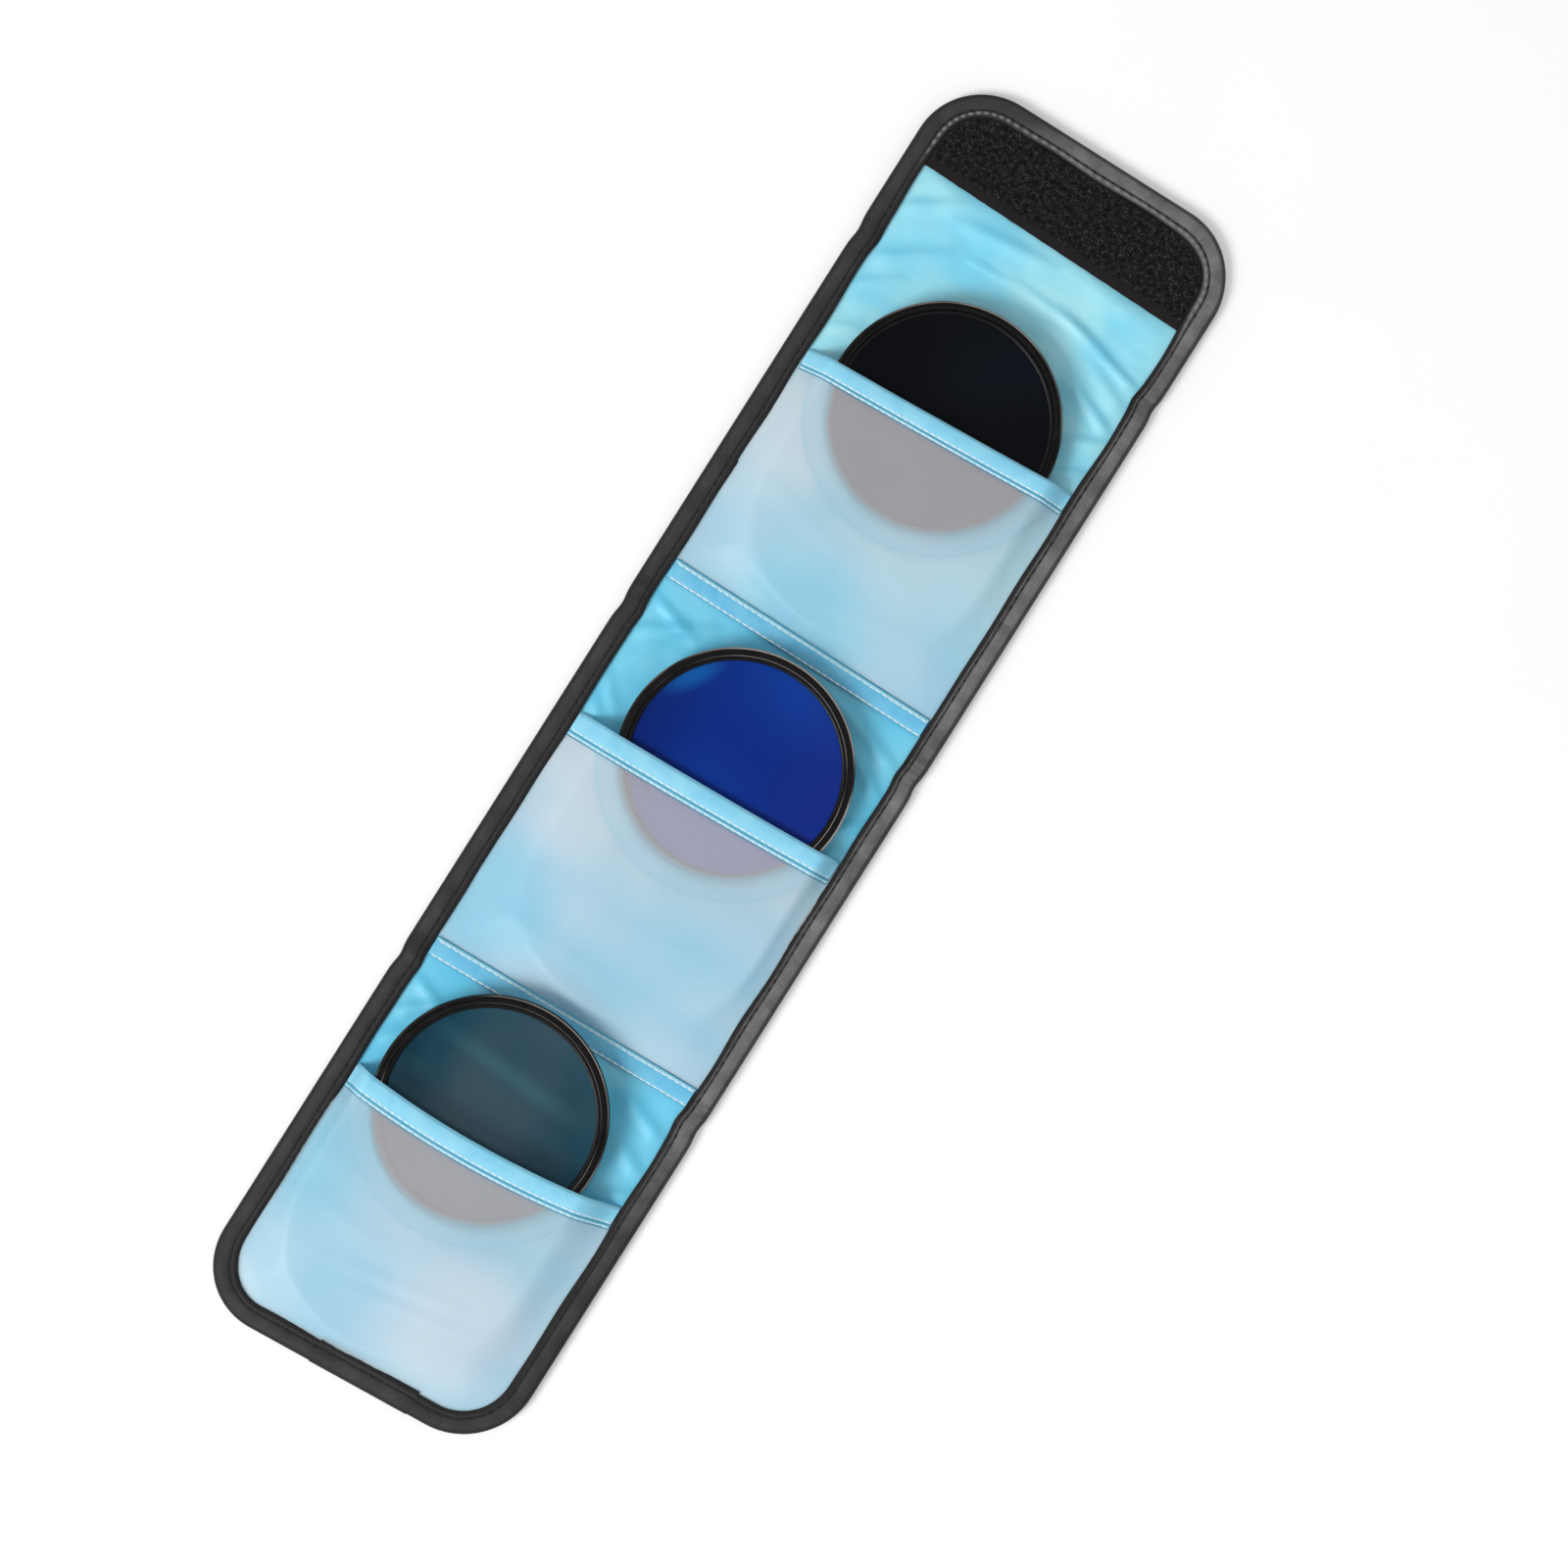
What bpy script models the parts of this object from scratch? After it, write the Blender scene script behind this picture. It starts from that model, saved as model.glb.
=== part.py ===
"""A folding pocket case for round lens filters, laid open and flat, with three filters half out.

The case lies on its outer cloth. X runs across it, Y along it towards the flap and Z up, and the
origin is under its middle. Places along the case are given as a distance down it from the flap's
tip, and down() turns them into a y. Lengths are in metres.
"""

import math

import bmesh
import bpy
from mathutils import Matrix, Vector

# Cloths, from the outside in, and the gap that pieces in contact keep
CANVAS = 0.0006
FOAM = 0.0008
LINING = 0.0003
FILM = 0.0003
RIBBON = 0.0005
HOOK_PILE = 0.0016
FIT = 0.0003

# The filters, which set the pockets' width and depth
FILTER_DIAMETER = 0.0800
FILTER_THICKNESS = 0.0046
POLARISER_THICKNESS = 0.0060
THREAD_STEP = 0.00175
THREAD_LENGTH = 0.0014
RIM_WALL = 0.0029
LEDGE_REACH = 0.0016
SEAT_LEDGE = 0.0009
GLASS = 0.0018
RETAINER = 0.0007
RING_BEVEL = 0.0004
FLANGE = 0.0005
SPIGOT_STEP = 0.0016
SPIGOT_HEIGHT = 0.0007
SKIRT_LAP = 0.0004
FRONT_LEDGE = 0.0005
POLARISER_GLASS = 0.0013
POLARISER_RETAINER = 0.0005

# The case seen from above
FLAP_LENGTH = 0.0634
TOP_LENGTH = 0.1416
MIDDLE_LENGTH = 0.1380
BOTTOM_LENGTH = 0.1376
CORNER_RADIUS = 0.0250
BINDING_REACH = 0.0082
SIDE_ROOM = 0.0103
HOOK_END = 0.0350
LOOP_OVERSIZE = 0.0012
PAD_MARGIN = 0.0020

# Half of each soft stretch that a fold bends
FLAP_SPINE = 0.0095
UPPER_SPINE = 0.0085
LOWER_SPINE = 0.0055

# The pockets
SHOULDER = 0.0042
POCKET_CORNER = 0.0100
SEAM_BAND = 0.0069
SEAM_LAP = 0.0008
FILM_TAIL = 0.0012
HEM_LIP = 0.0008
TOP_HEM, MIDDLE_HEM, BOTTOM_HEM = 0.0069, 0.0080, 0.0079
TOP_COVER, MIDDLE_COVER, BOTTOM_COVER = 0.0, 0.0028, 0.0014
TOP_ASIDE, MIDDLE_ASIDE, BOTTOM_ASIDE = 0.0004, 0.0036, -0.0037
TOP_GAP, MIDDLE_GAP, BOTTOM_GAP = 0.0101, 0.0013, 0.0011
LIFT_CLEARANCE = 0.0010
CLOSED_GAP = 0.0004
FOLD_SHORTFALL = math.radians(0.5)

# The turned radii of a filter, from the outside in
RIM = FILTER_DIAMETER / 2
THREAD = RIM - THREAD_STEP
SPIGOT = RIM - SPIGOT_STEP
SEAT = RIM - RIM_WALL
APERTURE = SEAT - LEDGE_REACH

CORNER_STEPS = 8
RING_STEPS = 48
SHOULDER_SHARES = (0.0, 0.25, 0.5, 0.75, 1.0)

CASE_WIDTH = FILTER_DIAMETER + 2 * (SIDE_ROOM + BINDING_REACH)
HALF_WIDTH = CASE_WIDTH / 2
FLAP_FOLD = FLAP_LENGTH
UPPER_FOLD = FLAP_FOLD + TOP_LENGTH
LOWER_FOLD = UPPER_FOLD + MIDDLE_LENGTH
CASE_LENGTH = LOWER_FOLD + BOTTOM_LENGTH

# Heights of the layers, from the surface that the case lies on
CANVAS_Z = RIBBON + FIT
PAD_Z = CANVAS_Z + CANVAS + FIT
LINING_Z = PAD_Z + FOAM + FIT
FACE_Z = LINING_Z + LINING + FIT
LEG_Z = FACE_Z + FILM + FIT
BINDING_TOP = LEG_Z + RIBBON

# Where each stiff panel begins and ends, and how far in its cloth and its face reach
FLAP_END = FLAP_FOLD - FLAP_SPINE
TOP_START = FLAP_FOLD + FLAP_SPINE
TOP_END = UPPER_FOLD - UPPER_SPINE
MIDDLE_START = UPPER_FOLD + UPPER_SPINE
MIDDLE_END = LOWER_FOLD - LOWER_SPINE
BOTTOM_START = LOWER_FOLD + LOWER_SPINE
CLOTH_INSET = RIBBON + FIT
FACE_INSET = BINDING_REACH + FIT
CORNER_X = HALF_WIDTH - CORNER_RADIUS
FLAP_CORNER = CORNER_RADIUS
BOTTOM_CORNER = CASE_LENGTH - CORNER_RADIUS


def down(distance):
    """The y of a point this far down the case from the flap's tip."""
    return CASE_LENGTH / 2 - distance


class Pocket:
    """The places of one pocket and its filter, as distances down the case."""

    def __init__(self, foot, tail, corner, cover, hem, rest_edge, aside, thickness):
        self.foot = foot
        self.tail = tail
        self.corner_x, self.corner_down = corner
        self.low_edge = foot - SHOULDER - 2 * FIT
        self.mouth = self.low_edge - FILTER_DIAMETER - cover
        self.hem_end = self.mouth + hem
        self.rest_centre = rest_edge + FILTER_DIAMETER / 2
        self.aside = aside
        self.thickness = thickness

    def slab_base(self, distance):
        """The height of the plane that the filter's underside slides in."""
        return FACE_Z + (self.low_edge - distance) * LIFT_SLOPE

    def film_base(self, distance):
        return self.slab_base(distance) + self.thickness / math.cos(TILT) + FIT

    def film_top(self, distance):
        return self.film_base(distance) + FILM / math.cos(TILT)

    def hem_top(self):
        return self.film_top(self.mouth - HEM_LIP) + FIT + RIBBON


FACE_HALF = HALF_WIDTH - FACE_INSET
SQUARE_X = FACE_HALF - POCKET_CORNER
TOP_FOOT = TOP_END - SEAM_BAND - FIT
MIDDLE_FOOT = MIDDLE_END - FILM_TAIL
BOTTOM_FOOT = CASE_LENGTH - FACE_INSET
TOP_POCKET = Pocket(
    TOP_FOOT, TOP_END - FIT, (SQUARE_X, TOP_FOOT - POCKET_CORNER),
    TOP_COVER, TOP_HEM, FLAP_END + TOP_GAP, TOP_ASIDE, FILTER_THICKNESS,
)
MIDDLE_POCKET = Pocket(
    MIDDLE_FOOT, MIDDLE_END, (SQUARE_X, MIDDLE_FOOT - POCKET_CORNER),
    MIDDLE_COVER, MIDDLE_HEM, TOP_END + MIDDLE_GAP, MIDDLE_ASIDE, FILTER_THICKNESS,
)
BOTTOM_POCKET = Pocket(
    BOTTOM_FOOT, CASE_LENGTH - CLOTH_INSET - FIT, (CORNER_X, BOTTOM_CORNER),
    BOTTOM_COVER, BOTTOM_HEM, MIDDLE_END + BOTTOM_GAP, BOTTOM_ASIDE, POLARISER_THICKNESS,
)

# A filter slides in a plane that rises towards the flap, so that it passes over the pocket above
PITCH = BOTTOM_POCKET.low_edge - MIDDLE_POCKET.low_edge - FIT
LIFT_SLOPE = (FILTER_THICKNESS + 2 * FIT + FILM + LIFT_CLEARANCE) / PITCH
TILT = math.atan(LIFT_SLOPE)

# The height of each fold's axis leaves room for what lies between the panels when they are shut
FACING_HEMS = max(
    BOTTOM_POCKET.hem_top() + MIDDLE_POCKET.film_top(2 * LOWER_FOLD - BOTTOM_POCKET.hem_end),
    MIDDLE_POCKET.hem_top() + BOTTOM_POCKET.film_top(2 * LOWER_FOLD - MIDDLE_POCKET.hem_end),
)
LOWER_AXIS_Z = (FACING_HEMS + CLOSED_GAP) / 2
UPPER_AXIS_Z = LOWER_AXIS_Z + (TOP_POCKET.hem_top() + CLOSED_GAP) / 2


def closed_rise(distance):
    """How far the middle panel stands up towards the flap there, as folds stop short of half a turn."""
    return (TOP_LENGTH - 2 * (FLAP_LENGTH - distance)) * math.tan(FOLD_SHORTFALL)


HOOK_TOP = FACE_Z + HOOK_PILE
FLAP_TOP = max(HOOK_TOP + closed_rise(HOOK_END), BINDING_TOP + closed_rise(FLAP_END))
FLAP_AXIS_Z = UPPER_AXIS_Z + (FLAP_TOP + CLOSED_GAP) / 2


def linear(code):
    """A screen colour, as 0xRRGGBB, in the linear values that a shader takes."""
    parts = [((code >> shift) & 255) / 255 for shift in (16, 8, 0)]
    return [p / 12.92 if p <= 0.04045 else ((p + 0.055) / 1.055) ** 2.4 for p in parts] + [1]


def finish(name, code, roughness, metallic=0.0, alpha=1.0, transmission=0.0):
    made = bpy.data.materials.new(name)
    made.use_nodes = True
    shader = made.node_tree.nodes["Principled BSDF"]
    shader.inputs["Base Color"].default_value = linear(code)
    shader.inputs["Roughness"].default_value = roughness
    shader.inputs["Metallic"].default_value = metallic
    shader.inputs["Alpha"].default_value = alpha
    shader.inputs["Transmission Weight"].default_value = transmission
    made.diffuse_color = linear(code)
    return made


def frame_empty(name, place, parent=None, tilt=0.0):
    """An empty on a joint's axis, for the pieces that turn or slide there."""
    empty = bpy.data.objects.new(name, None)
    bpy.context.scene.collection.objects.link(empty)
    empty.parent = parent
    empty.location = Vector(place) - (place_of(parent) if parent else Vector())
    empty.rotation_euler.x = tilt
    return empty


def place_of(empty):
    """Where an empty is in the case's frame."""
    place = Vector()
    while empty:
        place += empty.location
        empty = empty.parent
    return place


def add_piece(name, bm, material, home, drawn_from=None):
    """One sub-part, drawn round drawn_from and moved so that its origin is its home's."""
    if drawn_from is None:
        drawn_from = place_of(home)
    mesh = bpy.data.meshes.new(name)
    bm.to_mesh(mesh)
    bm.free()
    mesh.transform(Matrix.Translation(-drawn_from))
    mesh.materials.append(material)
    made = bpy.data.objects.new(name, mesh)
    bpy.context.scene.collection.objects.link(made)
    made.parent = home
    return made


def u_path(half, far, tip, centre_x, centre_down):
    """A U from its right leg round to its left: legs at half from far, and corners at the tip.

    The corners are quarters of an ellipse about (centre_x, centre_down).
    """
    points = [(half, far)]
    for side, steps in ((1, range(CORNER_STEPS + 1)), (-1, range(CORNER_STEPS, -1, -1))):
        for step in steps:
            angle = math.pi / 2 * step / CORNER_STEPS
            x = centre_x + (half - centre_x) * math.cos(angle)
            points.append((side * x, centre_down + (tip - centre_down) * math.sin(angle)))
    points.append((-half, far))
    return points


def flap_edge(inset, far):
    return u_path(HALF_WIDTH - inset, far, inset, CORNER_X, FLAP_CORNER)


def bottom_edge(inset, far):
    return u_path(HALF_WIDTH - inset, far, CASE_LENGTH - inset, CORNER_X, BOTTOM_CORNER)


def rectangle(inset, start, end):
    half = HALF_WIDTH - inset
    return [(half, start), (half, end), (-half, end), (-half, start)]


def add_plate(name, outline, low, thickness, material, home):
    """A flat sheet: an outline at the height low, extruded upwards."""
    bm = bmesh.new()
    face = bm.faces.new([bm.verts.new((x, down(d), low)) for x, d in outline])
    grown = bmesh.ops.extrude_face_region(bm, geom=[face])["geom"]
    top = [v for v in grown if isinstance(v, bmesh.types.BMVert)]
    bmesh.ops.translate(bm, verts=top, vec=(0, 0, thickness))
    bmesh.ops.recalc_face_normals(bm, faces=bm.faces)
    return add_piece(name, bm, material, home)


def add_channel(name, edge, material, home):
    """Ribbon folded round an edge: a channel section carried along edge(inset)."""
    section = (
        (RIBBON, 0), (BINDING_REACH, 0), (BINDING_REACH, RIBBON), (RIBBON, RIBBON),
        (RIBBON, LEG_Z), (BINDING_REACH, LEG_Z), (BINDING_REACH, BINDING_TOP),
        (RIBBON, BINDING_TOP), (0, LEG_Z), (0, RIBBON),
    )
    bm = bmesh.new()
    loops = [[bm.verts.new((x, down(d), z)) for x, d in edge(inset)] for inset, z in section]
    for first, second in zip(loops, loops[1:] + loops[:1]):
        for a, b, c, d in zip(first, first[1:], second[1:], second):
            bm.faces.new((a, b, c, d))
    bm.faces.new([loop[0] for loop in loops])
    bm.faces.new([loop[-1] for loop in loops])
    bmesh.ops.recalc_face_normals(bm, faces=bm.faces)
    return add_piece(name, bm, material, home)


def add_side_channels(prefix, start, end, material, home):
    for name, side in (("left", -1), ("right", 1)):
        def edge(inset, side=side):
            return [(side * (HALF_WIDTH - inset), d) for d in (start, end)]

        add_channel(f"{prefix}_binding_{name}", edge, material, home)


def smooth(share):
    return share * share * (3 - 2 * share)


def face_up(bm):
    bmesh.ops.recalc_face_normals(bm, faces=bm.faces)
    if sum(face.normal.z * face.calc_area() for face in bm.faces) < 0:
        bmesh.ops.reverse_faces(bm, faces=bm.faces)
    bm.normal_update()


def thicken(piece, thickness):
    modifier = piece.modifiers.new("thickness", "SOLIDIFY")
    modifier.thickness = thickness
    modifier.offset = 1
    modifier.use_even_offset = True


def add_film(name, pocket, material, home):
    """The pocket front: a flat rim, a shoulder that rises in four steps, and a flat top.

    Each loop is a U round the pocket. The rim runs under the binding and the seam.
    """
    bm = bmesh.new()
    rim = HALF_WIDTH - CLOTH_INSET - FIT
    centre = (pocket.corner_x, pocket.corner_down)
    paths = [(u_path(rim, pocket.mouth, pocket.tail, *centre), 0)]
    for share in SHOULDER_SHARES:
        inset = SHOULDER * share
        path = u_path(FACE_HALF - inset, pocket.mouth, pocket.foot - inset, *centre)
        paths.append((path, smooth(share)))
    loops = []
    for path, rise in paths:
        heights = [FACE_Z + (pocket.film_base(d) - FACE_Z) * rise for x, d in path]
        loops.append([bm.verts.new((x, down(d), z)) for (x, d), z in zip(path, heights)])
    for first, second in zip(loops, loops[1:]):
        for a, b, c, d in zip(first, first[1:], second[1:], second):
            bm.faces.new((a, b, c, d))
    bm.faces.new(loops[-1])
    face_up(bm)
    film = add_piece(name, bm, material, home)
    thicken(film, FILM)
    return film


def add_hem(name, pocket, material, home):
    """Ribbon over the film's upper edge: the film's own section, lifted off it."""
    bm = bmesh.new()
    right = [(FACE_HALF - SHOULDER * share, smooth(share)) for share in SHOULDER_SHARES[1:]]
    section = right + [(-x, rise) for x, rise in reversed(right)]
    rows = []
    for distance in (pocket.mouth - HEM_LIP, pocket.hem_end):
        top = pocket.film_base(distance) - FACE_Z
        rows.append([bm.verts.new((x, down(distance), FACE_Z + top * rise)) for x, rise in section])
    for a, b, c, d in zip(rows[0], rows[0][1:], rows[1][1:], rows[1]):
        bm.faces.new((a, b, c, d))
    face_up(bm)
    lifted = [(v, v.co + v.normal * (FILM + FIT)) for v in bm.verts]
    for vertex, place in lifted:
        vertex.co = place
    hem = add_piece(name, bm, material, home)
    thicken(hem, RIBBON)
    return hem


def add_turned(name, profile, material, home):
    """A closed (radius, height) profile spun round the filter's axis."""
    bm = bmesh.new()
    ring = [bm.verts.new((radius, 0, height)) for radius, height in profile]
    edges = [bm.edges.new(pair) for pair in zip(ring, ring[1:] + ring[:1])]
    bmesh.ops.spin(
        bm, geom=ring + edges, cent=(0, 0, 0), axis=(0, 0, 1),
        angle=2 * math.pi, steps=RING_STEPS, use_merge=True,
    )
    bmesh.ops.recalc_face_normals(bm, faces=bm.faces)
    made = add_piece(name, bm, material, home, Vector())
    made.data.shade_smooth()
    made.data.set_sharp_from_angle(angle=math.radians(30))
    return made


def add_disc(name, radius, low, thickness, material, home):
    bm = bmesh.new()
    lift = Matrix.Translation((0, 0, low + thickness / 2))
    bmesh.ops.create_cone(
        bm, cap_ends=True, segments=RING_STEPS, radius1=radius, radius2=radius,
        depth=thickness, matrix=lift,
    )
    return add_piece(name, bm, material, home, Vector())


def tube_profile(inner, outer, low, high):
    return ((inner, low), (outer, low), (outer, high), (inner, high))


def add_plain_filter(prefix, glass_finish, home):
    """A fixed filter: a ring with a rear thread, a glass on its ledge and a retaining ring."""
    profile = (
        (APERTURE, 0), (THREAD, 0), (THREAD, THREAD_LENGTH),
        (RIM - RING_BEVEL, THREAD_LENGTH), (RIM, THREAD_LENGTH + RING_BEVEL),
        (RIM, FILTER_THICKNESS - RING_BEVEL), (RIM - RING_BEVEL, FILTER_THICKNESS),
        (SEAT, FILTER_THICKNESS), (SEAT, SEAT_LEDGE), (APERTURE, SEAT_LEDGE),
    )
    add_turned(prefix + "_ring", profile, RING_BLACK, home)
    glass_low = SEAT_LEDGE + FIT
    add_disc(prefix + "_glass", SEAT - FIT, glass_low, GLASS, glass_finish, home)
    low = glass_low + GLASS + FIT
    profile = tube_profile(APERTURE, SEAT - FIT, low, low + RETAINER)
    add_turned(prefix + "_retainer", profile, RING_BLACK, home)


def add_polariser(prefix, glass_finish, home, front_home):
    """A filter in two rings: the front one turns round the base ring's spigot."""
    flange_top = THREAD_LENGTH + FLANGE
    spigot_top = flange_top + SPIGOT_HEIGHT
    base = (
        (APERTURE, 0), (THREAD, 0), (THREAD, THREAD_LENGTH), (RIM, THREAD_LENGTH),
        (RIM, flange_top), (SPIGOT, flange_top), (SPIGOT, spigot_top), (APERTURE, spigot_top),
    )
    add_turned(prefix + "_base_ring", base, RING_BLACK, home)
    low = spigot_top + FIT
    skirt = low - FIT - SKIRT_LAP
    ledge = low + FRONT_LEDGE
    top = POLARISER_THICKNESS
    front = (
        (APERTURE, low), (SPIGOT + FIT, low), (SPIGOT + FIT, skirt), (RIM, skirt),
        (RIM, top - RING_BEVEL), (RIM - RING_BEVEL, top), (SEAT, top),
        (SEAT, ledge), (APERTURE, ledge),
    )
    add_turned(prefix + "_front_ring", front, RING_BLACK, front_home)
    glass_low = ledge + FIT
    add_disc(prefix + "_glass", SEAT - FIT, glass_low, POLARISER_GLASS, glass_finish, front_home)
    low = glass_low + POLARISER_GLASS + FIT
    profile = tube_profile(APERTURE, SEAT - FIT, low, low + POLARISER_RETAINER)
    add_turned(prefix + "_retainer", profile, RING_BLACK, front_home)


def filter_home(name, pocket, parent):
    """The filter's own frame, at the middle of its underside, tilted into its sliding plane."""
    place = (pocket.aside, down(pocket.rest_centre), pocket.slab_base(pocket.rest_centre))
    return frame_empty(name, place, parent, TILT)


def add_panel_cloths(prefix, outline, home):
    """The three layers of one stiff panel; outline(inset, margin) gives their shape."""
    add_plate(prefix + "_canvas", outline(CLOTH_INSET, 0), CANVAS_Z, CANVAS, BLACK_CANVAS, home)
    add_plate(prefix + "_pad", outline(FACE_INSET, PAD_MARGIN), PAD_Z, FOAM, GREY_FOAM, home)
    add_plate(prefix + "_lining", outline(CLOTH_INSET, 0), LINING_Z, LINING, BLUE_LINING, home)


def add_fold(prefix, start, end, home):
    """The soft stretch that one fold bends, a fit's gap short of the panels on both sides."""
    start, end = start + FIT, end - FIT
    outline = rectangle(CLOTH_INSET, start, end)
    add_plate(prefix + "_canvas", outline, CANVAS_Z, CANVAS, BLACK_CANVAS, home)
    add_plate(prefix + "_lining", outline, LINING_Z, LINING, BLUE_LINING, home)
    add_side_channels(prefix, start, end, BINDING, home)


def add_flap(home):
    add_panel_cloths("flap", lambda inset, margin: flap_edge(inset, FLAP_END - margin), home)
    add_channel("flap_binding", lambda inset: flap_edge(inset, FLAP_END), BINDING, home)
    outline = flap_edge(FACE_INSET, HOOK_END)
    add_plate("hook_strip", outline, FACE_Z, HOOK_PILE, HOOK_BLACK, home)


def add_square_panel(prefix, start, end, home):
    def outline(inset, margin):
        return rectangle(inset, start + margin, end - margin)

    add_panel_cloths(prefix, outline, home)
    add_side_channels(prefix, start, end, BINDING, home)


def add_bottom_panel(home):
    def outline(inset, margin):
        return bottom_edge(inset, BOTTOM_START + margin)

    add_panel_cloths("bottom", outline, home)
    add_channel("bottom_binding", lambda inset: bottom_edge(inset, BOTTOM_START), BINDING, home)


def add_pocket(prefix, pocket, home):
    add_film(prefix + "_pocket_film", pocket, FROSTED_FILM, home)
    add_hem(prefix + "_pocket_hem", pocket, HEM_RIBBON, home)


def add_seam_band(name, start, end, home):
    add_plate(name, rectangle(FACE_INSET, start, end), LEG_Z, RIBBON, HEM_RIBBON, home)


def add_loop_strip(home):
    """The strip under the middle panel that the hook strip meets when the case is shut.

    The flap turns over at its fold and the panel at the upper fold, so a place d down the flap
    meets the place 2 * (UPPER_FOLD - FLAP_FOLD) + d down the middle panel.
    """
    shift = 2 * (UPPER_FOLD - FLAP_FOLD)
    start = shift + FACE_INSET - LOOP_OVERSIZE
    end = shift + HOOK_END + LOOP_OVERSIZE
    outline = rectangle(FACE_INSET, start, end)
    add_plate("loop_strip", outline, 0, RIBBON, LOOP_BLACK, home)


for leftover in list(bpy.data.objects):
    bpy.data.objects.remove(leftover, do_unlink=True)

BLACK_CANVAS = finish("black_canvas", 0x24241F, 0.85)
BLUE_LINING = finish("blue_lining", 0x7FD0EE, 0.45)
GREY_FOAM = finish("grey_foam", 0x6A6A6A, 0.95)
BINDING = finish("binding_ribbon", 0x454243, 0.6)
HEM_RIBBON = finish("hem_ribbon", 0x6CC9F0, 0.45)
FROSTED_FILM = finish("frosted_film", 0xB5D5E8, 0.35, alpha=0.6)
HOOK_BLACK = finish("hook_pile", 0x1E1D1D, 0.95)
LOOP_BLACK = finish("loop_pile", 0x1A1A1A, 0.95)
RING_BLACK = finish("black_ring", 0x141416, 0.35, metallic=0.9)
DARK_GLASS = finish("dark_glass", 0x0B0F17, 0.08, transmission=0.2)
BLUE_GLASS = finish("blue_glass", 0x0E3590, 0.08, transmission=0.3)
TEAL_GLASS = finish("teal_glass", 0x2D4250, 0.08, transmission=0.4)

top_home = frame_empty("top_panel_frame", (0, 0, 0))
flap_home = frame_empty("flap_axis", (0, down(FLAP_FOLD), FLAP_AXIS_Z), top_home)
middle_home = frame_empty("upper_axis", (0, down(UPPER_FOLD), UPPER_AXIS_Z), top_home)
bottom_home = frame_empty("lower_axis", (0, down(LOWER_FOLD), LOWER_AXIS_Z), middle_home)
top_filter_home = filter_home("top_filter_slide", TOP_POCKET, top_home)
middle_filter_home = filter_home("middle_filter_slide", MIDDLE_POCKET, middle_home)
polariser_home = filter_home("polariser_slide", BOTTOM_POCKET, bottom_home)
front_home = frame_empty("polariser_turn", place_of(polariser_home), polariser_home)

add_flap(flap_home)
add_fold("flap_fold", FLAP_END, TOP_START, top_home)
add_square_panel("top", TOP_START, TOP_END, top_home)
add_pocket("top", TOP_POCKET, top_home)
add_seam_band("top_seam_band", TOP_FOOT + FIT, TOP_END, top_home)
add_fold("upper_fold", TOP_END, MIDDLE_START, top_home)
add_square_panel("middle", MIDDLE_START, MIDDLE_END, middle_home)
add_pocket("middle", MIDDLE_POCKET, middle_home)
add_seam_band("middle_seam_band", MIDDLE_END - SEAM_LAP, MIDDLE_END - SEAM_LAP + SEAM_BAND, middle_home)
add_loop_strip(middle_home)
add_fold("lower_fold", MIDDLE_END, BOTTOM_START, middle_home)
add_bottom_panel(bottom_home)
add_pocket("bottom", BOTTOM_POCKET, bottom_home)
add_plain_filter("top_filter", DARK_GLASS, top_filter_home)
add_plain_filter("middle_filter", BLUE_GLASS, middle_filter_home)
add_polariser("polariser", TEAL_GLASS, polariser_home, front_home)
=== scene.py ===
# %% [markdown]
# # Dressing a folding case for round lens filters
#
# The case is a long strip of black canvas with a sky blue lining, bound all round with ribbon. Three
# pockets of frosted film are sewn across it, and a filter sits half out of each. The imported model
# gives the sizes and the joints. This file adds the cloth, the thread, the film and the turned rings,
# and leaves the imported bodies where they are.

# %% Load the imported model
import math

import bmesh
import bpy
import numpy as np
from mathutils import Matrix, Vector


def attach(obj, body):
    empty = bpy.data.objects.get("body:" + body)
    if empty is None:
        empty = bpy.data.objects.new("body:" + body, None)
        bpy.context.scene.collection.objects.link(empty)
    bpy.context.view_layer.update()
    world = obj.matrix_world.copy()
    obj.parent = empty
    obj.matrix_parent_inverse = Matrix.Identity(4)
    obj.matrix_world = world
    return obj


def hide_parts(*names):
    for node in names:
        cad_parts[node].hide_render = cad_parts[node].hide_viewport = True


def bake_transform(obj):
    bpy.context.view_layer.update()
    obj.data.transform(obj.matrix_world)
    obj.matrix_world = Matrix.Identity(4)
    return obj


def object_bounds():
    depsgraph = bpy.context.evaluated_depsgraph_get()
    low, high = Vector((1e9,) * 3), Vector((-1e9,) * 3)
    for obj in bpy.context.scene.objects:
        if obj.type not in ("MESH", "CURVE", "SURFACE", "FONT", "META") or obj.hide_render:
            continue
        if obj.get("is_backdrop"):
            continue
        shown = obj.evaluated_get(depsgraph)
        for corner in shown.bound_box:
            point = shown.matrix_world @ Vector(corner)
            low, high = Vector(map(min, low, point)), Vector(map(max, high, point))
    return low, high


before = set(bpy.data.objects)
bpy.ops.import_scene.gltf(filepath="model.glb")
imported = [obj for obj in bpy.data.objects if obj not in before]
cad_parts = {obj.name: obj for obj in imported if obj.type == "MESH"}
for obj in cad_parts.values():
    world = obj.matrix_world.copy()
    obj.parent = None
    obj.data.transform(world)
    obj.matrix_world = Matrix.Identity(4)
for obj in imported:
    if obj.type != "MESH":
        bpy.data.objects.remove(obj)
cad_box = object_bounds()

# %% [markdown]
# ## Places on the case
#
# A point on the case is easiest to name as a tailor would: how far across it is, how far down from the
# flap's tip, and how high. One function turns that into the model's own axes. Real sewn panels are
# never quite square, so the same function leans the seams a little and draws the edges in where each
# fold has creased the binding. Every soft piece goes through it, so that neighbours stay together.

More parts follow.
